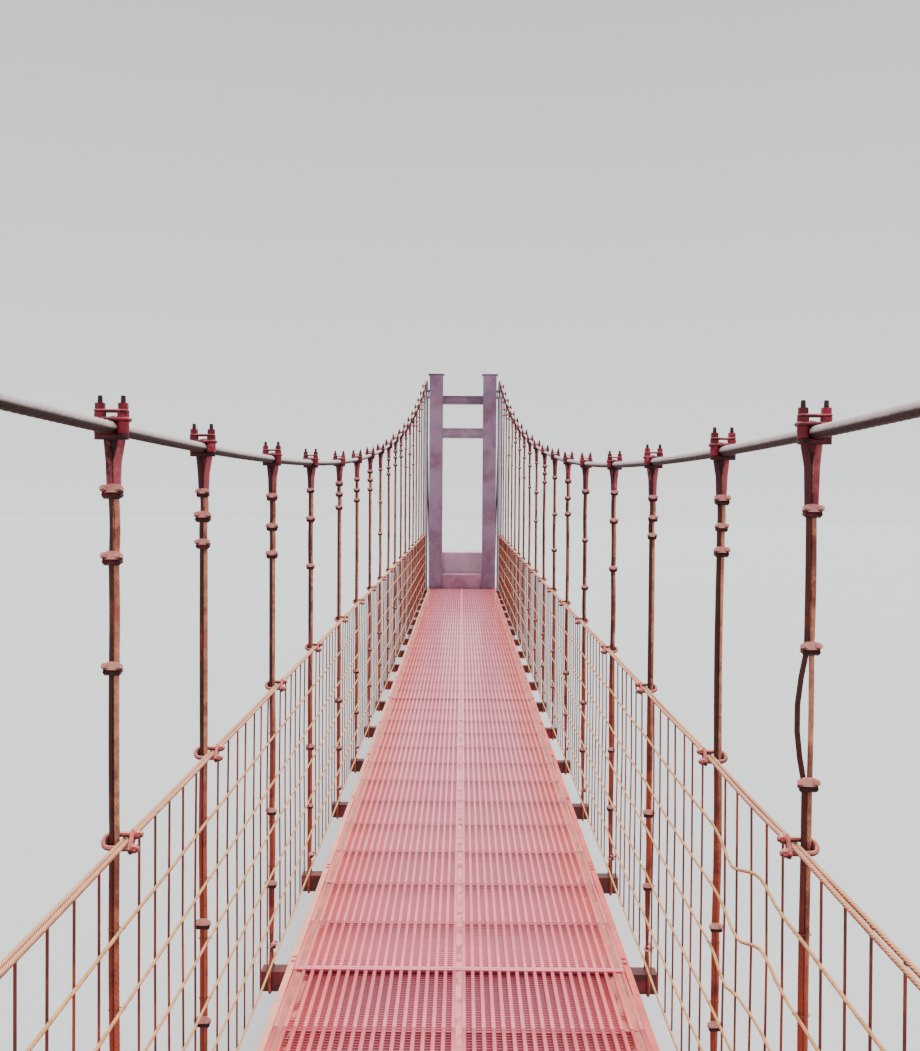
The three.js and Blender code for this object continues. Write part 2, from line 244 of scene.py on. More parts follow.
class Finish(Shading):
    """A material of the bridge."""

    def __init__(self, name):
        self.material = bpy.data.materials.new(name)
        self.material.use_nodes = True
        super().__init__(self.material.node_tree)
        self.tree.nodes.clear()
        self.output = self.tree.nodes.new("ShaderNodeOutputMaterial")

    def place(self):
        return self.node("ShaderNodeTexCoord", output="Object")

    def axis(self, name):
        """The place along one axis of the bridge."""
        return self.part(self.place(), name)

    def map_parts(self, name):
        """Both places on the piece's own map of that name."""
        place = self.node("ShaderNodeUVMap", {"uv_map": name})
        return self.part(place, "X"), self.part(place, "Y")

    def upward(self):
        """1 on faces that look up, 0 on upright ones and -1 on those that look down."""
        return self.part(self.node("ShaderNodeNewGeometry", output="Normal"), "Z")

    def noise(self, scale, detail=4.0, roughness=0.55, drawn_out=None, vector=None):
        where = vector or self.place()
        if drawn_out:
            stretched = {"Vector": where, "Scale": (1.0, 1.0, drawn_out)}
            where = self.node("ShaderNodeMapping", inputs=stretched)
        inputs = {"Vector": where, "Scale": scale, "Detail": detail, "Roughness": roughness}
        return self.node("ShaderNodeTexNoise", inputs=inputs)

    def mottled(self, mask, base, dark, light):
        """A colour that wanders between a darker and a lighter tint of itself."""
        return self.mix(mask, tinted(base, dark), tinted(base, light))

    def coated(self, shade, coats):
        """Lays coats over a colour.

        Each is a colour, the scale of its patches, the band where they begin, and their cover.
        """
        for number, (over, scale, low, high, cover) in enumerate(coats, start=1):
            shifted = {"Vector": self.place(), "Location": (float(number), 0, 0)}
            where = self.node("ShaderNodeMapping", inputs=shifted)
            patches = self.noise(scale, detail=5.0, roughness=0.6, vector=where)
            shade = self.mix(patches.band(low, high) * cover, shade, over)
        return shade

    def bump(self, height, distance):
        return self.node("ShaderNodeBump", inputs={"Height": height, "Distance": distance})

    def surface(self, inputs):
        shader = self.node("ShaderNodeBsdfPrincipled", inputs=inputs)
        self.tree.links.new(shader.socket, self.output.inputs["Surface"])
        return self.material


def rgba(value):
    if isinstance(value, Signal) or len(value) == 4:
        return value
    return (*value, 1.0)


def tinted(base, factor):
    """The same colour, lighter above 1 and darker below it."""
    return tuple(min(1.0, channel * factor) for channel in base)


def blended(first, second, share):
    return tuple(a + (b - a) * share for a, b in zip(first, second))


# Finishes

DULL = 0.22
DAMP = 0.15
# Chalky pale tint for faces that look up: sun-chalked paint and painted top light together.
CHALKED_AND_LIT = (0.75, 0.6, 0.58)
STRANDS = 6
HOLLOW_TOP = DECK_TOP - 0.0025
SHALLOW_FROM = 0.77
EDGE_BAND = (0.30, 0.62)
# Distances from the middle of the span over which the painted glare comes in.
GLARE_BAND = (0.9, 5.0)
LOW_RUST_TOP = RAIL_Z + 0.10


def worn_paint(name, base, rust, rust_share=-0.02, fade=0.35, coarse=6.0, fine=60.0, pitting=0.0008,
               coats=(), pale=None, under=0.35, grime=0.6, shaded=(-0.1, 0.7), gloss=0.0,
               second=None, hollow=None, deck=None):
    """Old brushed paint: blotches, sun-paled tops with painted top light, painted shade below, and rust that
    breaks through.
    """
    finish = Finish(name)
    blotch = finish.noise(coarse, detail=5.0)
    grain = finish.noise(fine, detail=6.0, roughness=0.65)
    up = finish.upward()
    paint = finish.mottled(blotch.band(0.35, 0.65), base, 0.78, 1.2)
    # The right leg takes a paler colour: painted light and shade across the doubled eye.
    if second:
        paint = finish.mix(right_strand(finish), paint, second)
    if deck:
        paint = finish.mix((abs(finish.axis("X")) + blotch * 0.2).band(*EDGE_BAND), paint, deck["edge"])
    paint = finish.coated(paint, coats)
    # Faces that look up turn paler: partly the paint's sun-bleaching, partly painted top light.
    faded = pale or blended(tinted(base, 1.5), CHALKED_AND_LIT, 0.35)
    paint = finish.mix(up.band(0.2, 1.0) * (0.35 + 0.65 * grain) * fade * 2.0, paint, faded)
    # Faces that look down turn darker: painted shade beneath each piece.
    paint = finish.mix((0.0 - up).band(*shaded) * grime, paint, tinted(base, under))
    broken = (grain * 0.55 + blotch * 0.45).band(0.62 - rust_share, 0.70 - rust_share)
    rusty = finish.mottled(finish.noise(fine * 2.5).band(0.35, 0.65), rust, 1.0, 2.4)
    shade = finish.mix(broken, paint, rusty)
    if deck:
        aside = abs(finish.axis("X")).band(*EDGE_BAND)
        # The colour of the painted glare on the far deck, pinker in the middle and more orange at the sides.
        glare_tint = finish.mix(aside, *deck["glare_tint"])
        shade = hollowed(finish, shade, up, hollow, finish.mix(aside, hollow, deck["edge"]), glare_tint)
        shade = wear_and_glare(finish, shade, blotch, glare_tint, deck["worn"], deck["stained"])
    elif hollow:
        shade = hollowed(finish, shade, up, hollow, hollow)
    return finish.surface({
        "Base Color": shade,
        "Roughness": 0.42 + 0.2 * grain + 0.3 * broken,
        "Specular IOR Level": DULL,
        "Coat Weight": gloss,
        "Coat Roughness": DAMP,
        "Normal": finish.bump(grain * 0.5 + (1.0 - broken) * 0.5, pitting),
    })


def hollowed(finish, shade, up, hollow, deep, glare_tint=None):
    """Bars below their tops: painted light deep in the gaps, painted shade on ledges that face up, and
    painted glare where the gaps are shallow.
    """
    depth = HOLLOW_TOP - finish.axis("Z")
    # Painted light: deeper down the bars turn lighter, to lift the shade between them.
    deep = finish.mix(depth.band(0.008, 0.024) * 0.4, deep, tinted(hollow, 1.5))
    # Painted shade: ledges that face up turn darker, to match the shaded faces beside them.
    deep = finish.mix(up.band(0.3, 0.9), deep, tinted(hollow, 0.42))
    # Painted glare: past the shallow-flat joint the hollows mostly take the glare colour.
    if glare_tint:
        outside = abs(finish.axis("Y")).band(SHALLOW_FROM, SHALLOW_FROM + 0.03)
        deep = finish.mix(outside * 0.8, deep, glare_tint)
    return finish.mix(depth.band(0.0, 0.004), shade, deep)


def wear_and_glare(finish, shade, blotch, glare_tint, worn, stained):
    """Each panel worn at one end and stained at the other, and painted glare that lightens the paint farther
    from the middle of the span.
    """
    share, tone = finish.map_parts("panel")
    shade = finish.mix((1.0 - share) ** 3 * 0.45 + tone * 0.15, shade, worn)
    shade = finish.mix(share ** 4 * 0.85 + (1.0 - tone) * 0.12, shade, stained)
    # Painted glare: the paint turns lighter from about a metre out, fully so beyond five metres.
    away = (abs(finish.axis("Y")) + blotch * 0.6).band(*GLARE_BAND)
    shade = finish.mix(away * 0.7, shade, glare_tint)
    return finish.mix(share ** 6 * away * 0.55, shade, stained)


def right_strand(finish):
    """0 on the left strand of a hanger and 1 on the right one, walking to the far tower."""
    x = finish.axis("X")
    return (x - x.math("SIGN") * NET_X).band(-0.0015, 0.0015)


def rope_finish(name, base, rust, lay, pale, fade, grooves, under=0.55, relief=0.0012, turnover=(0.25, 1.0),
                shaded=(0.1, 0.9), second=None, low_rust=None, coats=()):
    """Wire rope: strands wind round it, with grooves darkened by rust and painted shade, patches of paint
    and rust, painted top light above and painted shade below.
    """
    finish = Finish(name)
    around, along = finish.map_parts("rope")
    crown = ((around - along / lay) * (STRANDS * math.tau)).math("COSINE") * 0.5 + 0.5
    grain = finish.noise(45.0, detail=5.0, roughness=0.6)
    up = finish.upward()
    shade = finish.mottled(grain.band(0.3, 0.7), base, 0.7, 1.35)
    # The right strand takes a paler colour: painted light and shade across the doubled rope.
    if second:
        other = finish.mottled(grain.band(0.3, 0.7), second, 0.7, 1.35)
        shade = finish.mix(right_strand(finish), shade, other)
    if low_rust:
        shade = finish.mix((LOW_RUST_TOP - finish.axis("Z")).band(0.0, 0.5) * 0.75, shade, low_rust)
    shade = finish.coated(shade, coats)
    # Painted top light: faces that look up turn pale.
    shade = finish.mix(up.band(*turnover) * fade, shade, pale)
    # The grooves between strands darken, partly with rust and partly as painted shade.
    shade = finish.mix((1.0 - crown) * grooves, shade, tinted(rust, 0.4))
    # Painted shade: faces that look down turn almost black.
    shade = finish.mix((0.0 - up).band(*shaded) * under, shade, tinted(rust, 0.1))
    return finish.surface({
        "Base Color": shade,
        "Roughness": 0.5 + 0.25 * grain,
        "Specular IOR Level": DULL,
        "Normal": finish.bump(crown * 0.8 + grain * 0.2, relief),
    })


def zinc_finish(name, base):
    """Galvanised steel: soft spangle, white bloom and a few runs."""
    finish = Finish(name)
    spangle = finish.noise(90.0, detail=2.0)
    runs = finish.noise(9.0, detail=5.0, drawn_out=0.12)
    shade = finish.mottled(spangle.band(0.3, 0.7), base, 0.85, 1.15)
    return finish.surface({
        "Base Color": finish.mix(runs.band(0.52, 0.7) * 0.6, shade, (0.5, 0.42, 0.38)),
        "Roughness": 0.38 + 0.2 * runs,
        "Metallic": 0.45,
        "Normal": finish.bump(spangle, 0.0003),
    })


def concrete_finish(name, base):
    """Board-marked concrete: grain, pores, damp foot and streaks down the faces."""
    finish = Finish(name)
    grain = finish.noise(55.0, detail=8.0, roughness=0.7)
    patch = finish.noise(2.3, detail=6.0)
    streak = finish.noise(7.0, detail=5.0, drawn_out=0.1)
    height = finish.axis("Z")
    board = (height * (math.tau / 0.15)).math("SINE").band(0.96, 1.0)
    upright = 1.0 - finish.upward().band(0.4, 0.9)
    shade = finish.mottled(patch.band(0.3, 0.7), base, 0.75, 1.25)
    shade = finish.mix(grain.band(0.35, 0.75) * 0.5, shade, tinted(base, 1.5))
    shade = finish.mix(streak.band(0.5, 0.75) * upright * 0.65, shade, tinted(base, 0.4))
    damp = (1.0 - height.band(0.0, 0.35)) * patch.band(0.2, 0.6)
    pores = finish.noise(160.0, detail=2.0).band(0.66, 0.72)
    return finish.surface({
        "Base Color": finish.mix(damp * 0.6, shade, tinted(base, 0.38)),
        "Roughness": 0.78 + 0.15 * grain - 0.25 * damp,
        "Normal": finish.bump(grain * 0.6 - pores * 0.5 - board * upright * 0.8, 0.003),
    })


def floor_finish(name, base):
    finish = Finish(name)
    shade = finish.mottled(finish.noise(0.35, detail=3.0), base, 0.97, 1.03)
    return finish.surface({"Base Color": shade, "Roughness": 0.85})


MATERIALS = {}
PINK = (0.72, 0.14, 0.17)
BLOOD = (0.09, 0.008, 0.013)
OLIVE = (0.10, 0.055, 0.022)
ORANGE = (0.48, 0.10, 0.035)
TAN = (0.76, 0.36, 0.16)
ROSY = (0.82, 0.15, 0.19)
LILAC = (0.58, 0.14, 0.24)


def make_materials(sizes, colours):
    """All finishes of the bridge, by the name of the part that wears them."""
    picked = {name: tuple(getattr(colours, name)) for name in colours.__annotations__}
    rust, ironwork, dirt = picked["rust"], picked["ironwork"], picked["dirt"]
    painted, roped = partial(worn_paint, rust=rust), partial(rope_finish, rust=rust)
    walkway = {"coarse": 3.5, "gloss": 1.0, "hollow": picked["hollow"]}
    iron = {"coarse": 25.0, "fine": 150.0}
    # In each finish below, the settings for pale tops and dark undersides paint top light and shade into the
    # colour.
    MATERIALS.update({
        "grating": painted(
            "grating_paint", picked["grating"], rust_share=-0.08, fade=0.03, **walkway,
            coats=[((0.60, 0.05, 0.07), 2.0, 0.50, 0.68, 0.35), (ROSY, 7.0, 0.52, 0.7, 0.3),
                   (LILAC, 3.0, 0.56, 0.72, 0.35)],
            # The last entry is the painted glare on the far deck: one colour for the middle, one for the
            # edges.
            deck={"edge": picked["grating_edge"], "worn": (0.92, 0.26, 0.33), "stained": (0.42, 0.035, 0.06),
                  "glare_tint": ((0.97, 0.38, 0.47), (0.99, 0.26, 0.22))}),
        "band": painted("grating_band_paint", picked["grating"], rust_share=-0.12, fade=0.3,
                        pale=(0.96, 0.36, 0.38), **walkway),
        "dirt": painted("caked_dirt", dirt, rust=tinted(dirt, 0.6), rust_share=0.0, fade=0.1, coarse=12.0,
                        fine=90.0, pitting=0.003,
                        coats=[(TAN, 9.0, 0.58, 0.68, 0.35), (BLOOD, 14.0, 0.56, 0.66, 0.35)]),
        "seam": painted("seam_filling", (0.74, 0.20, 0.22), rust=tinted(dirt, 0.6), rust_share=0.0,
                        fade=0.05, coarse=9.0, fine=70.0, pitting=0.003,
                        coats=[((0.30, 0.04, 0.06), 13.0, 0.50, 0.58, 0.75)]),
        # Its blood-dark and rosy patches are partly the paint's own blotches and partly painted shade and
        # painted highlights.
        "ironwork": painted("ironwork_paint", ironwork, **iron, fade=0.42, pale=(0.86, 0.26, 0.28),
                            under=0.12, grime=0.95, shaded=(-0.3, 0.5),
                            coats=[(BLOOD, 16.0, 0.46, 0.56, 0.75), (ROSY, 22.0, 0.58, 0.66, 0.6)]),
        # This near-black finish is painted shade, for parts that lie in shade under the cable clamps, inside
        # the clips and clamps, and in the eyes.
        "grimy_iron": painted("grimy_ironwork", (0.022, 0.004, 0.006), **iron, fade=0.2,
                              pale=(0.30, 0.05, 0.06), under=0.4, grime=0.9,
                              coats=[((0.13, 0.012, 0.02), 18.0, 0.52, 0.62, 0.7)]),
        "clip": painted("rope_clip_paint", picked["clip"], **iron, fade=0.6, pale=(0.94, 0.52, 0.44),
                        under=0.04, grime=1.0, shaded=(0.0, 0.5), coats=[(PINK, 16.0, 0.52, 0.62, 0.5)]),
        "rail_iron": painted("rail_clamp_paint", picked["rail_clamp"], rust_share=0.0, **iron, fade=0.5,
                             pale=(0.92, 0.38, 0.30), under=0.08, grime=1.0, shaded=(-0.3, 0.4),
                             coats=[(PINK, 14.0, 0.52, 0.62, 0.5), (BLOOD, 20.0, 0.52, 0.62, 0.7)]),
        # The right leg is paler than the left: painted light and shade, as on the hangers.
        "sheath": painted("eye_sheath_paint", (0.055, 0.010, 0.018), rust_share=0.0, fade=0.3, coarse=18.0,
                          fine=120.0, pale=(0.66, 0.16, 0.20), second=(0.36, 0.07, 0.09), under=0.15,
                          grime=0.8, coats=[(PINK, 11.0, 0.54, 0.62, 0.4), (BLOOD, 14.0, 0.50, 0.60, 0.6)]),
        "beam": painted("beam_paint", picked["beam"], rust_share=0.02, fade=0.05, coarse=9.0,
                        coats=[(ironwork, 7.0, 0.55, 0.65, 0.6)]),
        "left_edge": painted("left_edge_paint", picked["left_edge"], rust_share=-0.06, fade=0.3, coarse=5.0,
                             pale=(0.92, 0.5, 0.36),
                             coats=[(TAN, 6.0, 0.52, 0.64, 0.5), (tinted(dirt, 1.1), 0.9, 0.46, 0.56, 0.8)]),
        "right_edge": painted("right_edge_paint", picked["right_edge"], rust_share=-0.03, fade=0.15,
                              coarse=5.0, coats=[(ORANGE, 7.0, 0.52, 0.62, 0.6), (ROSY, 1.1, 0.5, 0.6, 0.6),
                                                 (BLOOD, 9.0, 0.6, 0.7, 0.5)]),
        "tower": painted("tower_paint", picked["tower"], rust_share=-0.10, fade=0.3, coarse=2.2, fine=35.0,
                         coats=[((0.34, 0.21, 0.28), 1.6, 0.46, 0.62, 0.6),
                                ((0.20, 0.075, 0.12), 2.4, 0.50, 0.66, 0.6)]),
        "lintel": painted("lintel_paint", (0.42, 0.30, 0.38), rust_share=-0.10, fade=0.3, coarse=2.5,
                          fine=35.0, coats=[((0.30, 0.14, 0.22), 3.0, 0.52, 0.66, 0.6)]),
        # The right strand is paler than the left: painted light and shade across the doubled rope.
        "hanger": roped("hanger_rope", picked["hanger"], lay=sizes.rope_lay, pale=(0.70, 0.26, 0.18),
                        fade=0.3, grooves=0.4, second=picked["hanger_pale"], low_rust=(0.50, 0.068, 0.034),
                        coats=[(ORANGE, 6.0, 0.54, 0.66, 0.35), (OLIVE, 4.0, 0.58, 0.68, 0.4),
                               (BLOOD, 8.0, 0.52, 0.60, 0.6), ((0.40, 0.06, 0.07), 5.0, 0.58, 0.66, 0.5)]),
        # Pale on top and almost black underneath: painted top light and painted shade.
        "cable": roped("main_cable_rope", picked["cable"], lay=sizes.cable_lay, pale=(0.56, 0.47, 0.46),
                       fade=0.8, grooves=0.12, under=1.0, relief=0.0003, turnover=(-0.3, 0.5),
                       shaded=(-0.12, 0.32), coats=[((0.10, 0.035, 0.028), 7.0, 0.52, 0.66, 0.5)]),
        "rail": roped("handrail_rope", picked["rail"], lay=sizes.rope_lay, pale=(0.88, 0.52, 0.30), fade=0.7,
                      grooves=0.5, under=0.9, shaded=(-0.2, 0.6),
                      coats=[((0.50, 0.09, 0.06), 9.0, 0.52, 0.62, 0.5),
                             ((0.45, 0.22, 0.06), 5.0, 0.55, 0.65, 0.5),
                             ((0.74, 0.24, 0.22), 2.4, 0.52, 0.60, 0.6)]),
        "wire": roped("side_wire_rope", picked["wire"], lay=sizes.rope_lay * 0.5, pale=(0.92, 0.62, 0.28),
                      fade=0.4, grooves=0.3, under=0.85, shaded=(-0.1, 0.7),
                      coats=[((0.74, 0.16, 0.08), 6.0, 0.52, 0.64, 0.6),
                             ((0.3, 0.08, 0.03), 12.0, 0.6, 0.68, 0.6)]),
        "fence": painted("fence_wire_paint", picked["fence"], rust_share=0.0, fade=0.3, coarse=8.0,
                         fine=50.0,
                         coats=[(ironwork, 7.0, 0.54, 0.64, 0.6), (ORANGE, 5.0, 0.52, 0.62, 0.5)]),
        "thread": painted("bare_thread", (0.035, 0.015, 0.02), rust_share=-0.05, fade=0.2, coarse=60.0,
                          fine=200.0),
        "zinc": zinc_finish("galvanised_pipe", picked["zinc"]),
        "concrete": concrete_finish("cast_concrete", picked["concrete"]),
        "step": painted("step_paint", (0.41, 0.20, 0.285), rust=tinted(picked["concrete"], 0.6), fade=0.1,
                        coarse=5.0, fine=40.0, pitting=0.002),
    })


# Mesh tools

ROPE_ANGLE = 80.0
CAST_ANGLE = 50.0


def mesh_from(name, bm):
    mesh = bpy.data.meshes.new(name)
    bm.to_mesh(mesh)
    bm.free()
    return mesh


def add_object(name, bm, finishes, sharp_angle=35.0, nodes=()):
    """Turns a bmesh into a piece that rides on the bridge and stands for the given solids."""
    mesh = mesh_from(name, bm)
    for key in finishes:
        mesh.materials.append(MATERIALS[key])
    mesh.shade_smooth()
    mesh.set_sharp_from_angle(angle=math.radians(sharp_angle))
    piece = bpy.data.objects.new(name, mesh)
    bpy.context.scene.collection.objects.link(piece)
    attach(piece, BODY)
    if nodes:
        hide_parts(*nodes)


def put(bm, mesh, matrix):
    """Adds a copy of the mesh to the bmesh."""
    copy = mesh.copy()
    copy.transform(matrix)
    if matrix.determinant() < 0:
        copy.flip_normals()
    bm.from_mesh(copy)
    bpy.data.meshes.remove(copy)


def at(x, y, z, turn=0.0, axis="Z", flip=1):
    scale = Matrix.Diagonal((flip, 1, 1, 1))
    return Matrix.Translation((x, y, z)) @ Matrix.Rotation(turn, 4, axis) @ scale


def merge_into(bm, part, material=0):
    for face in part.faces:
        face.material_index = material
    mesh = mesh_from("part", part)
    bm.from_mesh(mesh)
    bpy.data.meshes.remove(mesh)


def box_between(low, high):
    part = bmesh.new()
    bmesh.ops.create_cube(part, size=1.0)
    bmesh.ops.scale(part, vec=[b - a for a, b in zip(low, high)], verts=part.verts)
    bmesh.ops.translate(part, vec=[(a + b) / 2 for a, b in zip(low, high)], verts=part.verts)
    return part


def soften(part, width, segments=1):
    bmesh.ops.bevel(part, geom=part.edges[:], offset=width, offset_type="OFFSET", affect="EDGES",
                    segments=segments, profile=0.5, material=-1)


def mirrored(side, end, xs, ys, zs):
    """Corners of a box that is given for the right side of the far end."""
    return tuple(zip(sorted(side * x for x in xs), sorted(end * y for y in ys), zs))


def add_block(bm, low, high, bevel=0.0, material=0):
    """A box between two corners with bevelled edges."""
    part = box_between(low, high)
    if bevel:
        soften(part, bevel)
    merge_into(bm, part, material)


def add_profile(bm, outline, axis, start, stop, material=0):
    """An outline in the plane across X or Y, drawn out from start to stop along that axis."""
    part = bmesh.new()
    along_x = axis == "X"
    corners = [part.verts.new((start, u, v) if along_x else (u, start, v)) for u, v in outline]
    drawn = bmesh.ops.extrude_face_region(part, geom=[part.faces.new(corners)])
    moved = [item for item in drawn["geom"] if isinstance(item, bmesh.types.BMVert)]
    run = stop - start
    bmesh.ops.translate(part, vec=(run, 0, 0) if along_x else (0, run, 0), verts=moved)
    bmesh.ops.recalc_face_normals(part, faces=part.faces)
    merge_into(bm, part, material)


def add_rod(bm, foot, top, radius, sides=8, material=0, taper=1.0):
    """A straight round or many-sided bar between two points."""
    foot, top = Vector(foot), Vector(top)
    part = bmesh.new()
    bmesh.ops.create_cone(part, cap_ends=True, segments=sides, radius1=radius, radius2=radius * taper,
                          depth=(top - foot).length)
    turn = Vector((0, 0, 1)).rotation_difference(top - foot).to_matrix().to_4x4()
    bmesh.ops.transform(part, matrix=Matrix.Translation((foot + top) / 2) @ turn, verts=part.verts)
    merge_into(bm, part, material)


def add_stack(bm, place, axis, layers):
    """Rods in line on an axis, each from and to a distance, with its radius, sides, material and taper."""
    for low, high, *rest in layers:
        foot, top = list(place), list(place)
        foot[axis] += low
        top[axis] += high
        add_rod(bm, foot, top, *rest)


def channel(width, depth, wall):
    """Outline of a U section, open on one side, centred across and hanging below zero."""
    half = width / 2
    return [(-half, 0), (half, 0), (half, -wall), (wall - half, -wall), (wall - half, wall - depth),
            (half, wall - depth), (half, -depth), (-half, -depth)]


def i_section(width, depth, flange, web):
    """Outline of an I section centred on zero."""
    half, high, thin = width / 2, depth / 2, web / 2
    inner = high - flange
    return [(-half, -high), (half, -high), (half, -inner), (thin, -inner), (thin, inner), (half, inner),
            (half, high), (-half, high), (-half, inner), (-thin, inner), (-thin, -inner), (-half, -inner)]


# Ropes: a grid rolled up along its route

class Route:
    """The line that a rope follows, with directions across it carried along."""

    def __init__(self, points, across=(1.0, 0.0, 0.0)):
        self.points = [Vector(point) for point in points]
        self.marks = [0.0]
        for first, second in zip(self.points, self.points[1:]):
            self.marks.append(self.marks[-1] + (second - first).length)
        self.across = []
        carried = Vector(across)
        for index in range(len(self.points)):
            before = self.points[max(index - 1, 0)]
            after = self.points[min(index + 1, len(self.points) - 1)]
            ahead = (after - before).normalized()
            carried = (carried - ahead * carried.dot(ahead)).normalized()
            self.across.append((carried.copy(), carried.cross(ahead)))

    def frame(self, distance):
        index = min(max(bisect_right(self.marks, distance) - 1, 0), len(self.points) - 2)
        span = self.marks[index + 1] - self.marks[index]
        share = min(max((distance - self.marks[index]) / span, 0.0), 1.0)
        point = self.points[index].lerp(self.points[index + 1], share)
        side = self.across[index][0].lerp(self.across[index + 1][0], share)
        up = self.across[index][1].lerp(self.across[index + 1][1], share)
        return point, side, up


def add_rope(bm, route, radius, step=0.0, sides=8, lay=0.0, groove=0.0, material=0):
    """Rolls a grid into a rope, in rings a step apart or, without a step, one at each point of the route.

    With a lay it turns once in each, and every other edge is a groove.
    """
    marks = route.marks
    if step:
        rings = max(1, round(marks[-1] / step))
        marks = [marks[-1] * ring / rings for ring in range(rings + 1)]
    last = len(marks) - 1
    turns = [mark / lay if lay else 0.0 for mark in marks]
    frames = [route.frame(mark) for mark in marks]
    part = bmesh.new()
    layer = part.loops.layers.uv.new("rope")
    bmesh.ops.create_grid(part, x_segments=sides, y_segments=last, size=0.5, calc_uvs=True)
    for face in part.faces:
        for loop in face.loops:
            ring = round((loop.vert.co.y + 0.5) * last)
            loop[layer].uv = (loop.vert.co.x + 0.5 + turns[ring], marks[ring])
    for vert in part.verts:
        column, ring = round((vert.co.x + 0.5) * sides), round((vert.co.y + 0.5) * last)
        reach = radius * (1.0 - groove) if column % 2 else radius
        angle = math.tau * (column / sides + turns[ring])
        point, side, up = frames[ring]
        vert.co = point + side * (reach * math.cos(angle)) + up * (reach * math.sin(angle))
    bmesh.ops.remove_doubles(part, verts=part.verts, dist=1e-6)
    bmesh.ops.holes_fill(part, edges=[edge for edge in part.edges if edge.is_boundary], sides=0)
    bmesh.ops.recalc_face_normals(part, faces=part.faces)
    merge_into(bm, part, material)


def add_strand(bm, points, radius, across=(0, 1, 0), **settings):
    """A short rope or bent rod with a ring at each of its points."""
    add_rope(bm, Route(points, across), radius, **settings)


def arc(centre, radius, start, stop, steps):
    """Points on an upright circle across the bridge."""
    points = []
    for step in range(steps + 1):
        turn = start + (stop - start) * step / steps
        points.append(Vector(centre) + Vector((radius * math.cos(turn), 0, radius * math.sin(turn))))
    return points


# Main cables

CABLE_PIECES = 64
CABLE_STEPS = 14
CABLE_RING = 0.0095
CABLE_FULLNESS = 1.06
CABLE_GROOVE = 0.05
SADDLE_SLOPE = math.atan(2 * CABLE_SAG / HALF_SPAN)
SADDLE_START = HALF_SPAN - SADDLE_RADIUS * math.sin(SADDLE_SLOPE)
SADDLE_Z = cable_height(SADDLE_START) - SADDLE_RADIUS * math.cos(SADDLE_SLOPE)


def saddle_arc(radius, steps):
    """Places along the bridge and heights round the saddle's centre, from the span to the backstay."""
    turns = [-SADDLE_SLOPE + (SADDLE_SLOPE + STAY_ANGLE) * step / steps for step in range(steps + 1)]
    return [(HALF_SPAN + radius * math.sin(turn), SADDLE_Z + radius * math.cos(turn)) for turn in turns]


def cable_points(x):
    half = []
    for piece in range(CABLE_PIECES):
        along = SADDLE_START * piece / CABLE_PIECES
        half.append((x, along, cable_height(along)))
    half += [(x, along, up) for along, up in saddle_arc(SADDLE_RADIUS, CABLE_STEPS)]
    _, last_y, last_z = half[-1]
    drop = last_z - STAY_END_HEIGHT
    half.append((x, last_y + drop / math.tan(STAY_ANGLE), STAY_END_HEIGHT))
    return [(x, -along, up) for _, along, up in reversed(half[1:])] + half


class FOOTBRIDGE_OT_main_cables(Operator):
    """Six-strand main cables from anchor to anchor"""
    bl_idname = "footbridge.main_cables"
    bl_label = "Main cables"

    def execute(self, context):
        lay = context.scene.footbridge_sizes.cable_lay
        for name, side in SIDES:
            bm = bmesh.new()
            add_rope(bm, Route(cable_points(side * NET_X)), CABLE_RADIUS * CABLE_FULLNESS, CABLE_RING,
                     sides=12, lay=lay, groove=CABLE_GROOVE)
            add_object(f"{name}_stranded_cable", bm, ["cable"], ROPE_ANGLE,
                       [f"{name}_main_cable"])
        return {"FINISHED"}


# Hangers

EYE_SHIFT = 0.007
EYE_RADIUS = CABLE_RADIUS + HANGER_RADIUS
EYE_OPENING = 0.55
EYE_NECK = 0.064
SHEATH_RADIUS = 0.0076
SHEATH_FOOT_X, SHEATH_NECK_X = 0.0062, 0.0082
SHEATH_END = 0.008
WEDGE_NECK = 0.0020
WEDGE_FRONT, WEDGE_BACK = -0.0052, 0.004
HANGER_SLACK = 0.0006
HANGER_SWAY = 0.003
LOWER_CLIPS = (0.05, 0.27, 0.53)
CLIP_PATTERNS = (
    (0.127, 0.253, 0.462),
    (0.120, 0.180, 0.250),
    (0.154, 0.417, 0.677),
    (0.130, 0.200, 0.262),
    (0.135, 0.240, 0.340),
)
SHOWN_PATTERNS = {("left", -1): 0, ("left", 0): 1, ("right", -1): 2, ("right", 0): 3}
BULGES = {("right", -1): (3, 0.017)}


def hanger_plans(name):
    """Each hanger's number, place along the bridge and drops of its upper clips below the main cable."""
    rng = random.Random(f"hangers {name}")
    for number, along in HANGERS.items():
        drawn = rng.randrange(len(CLIP_PATTERNS))
        yield number, along, CLIP_PATTERNS[SHOWN_PATTERNS.get((name, number), drawn)]


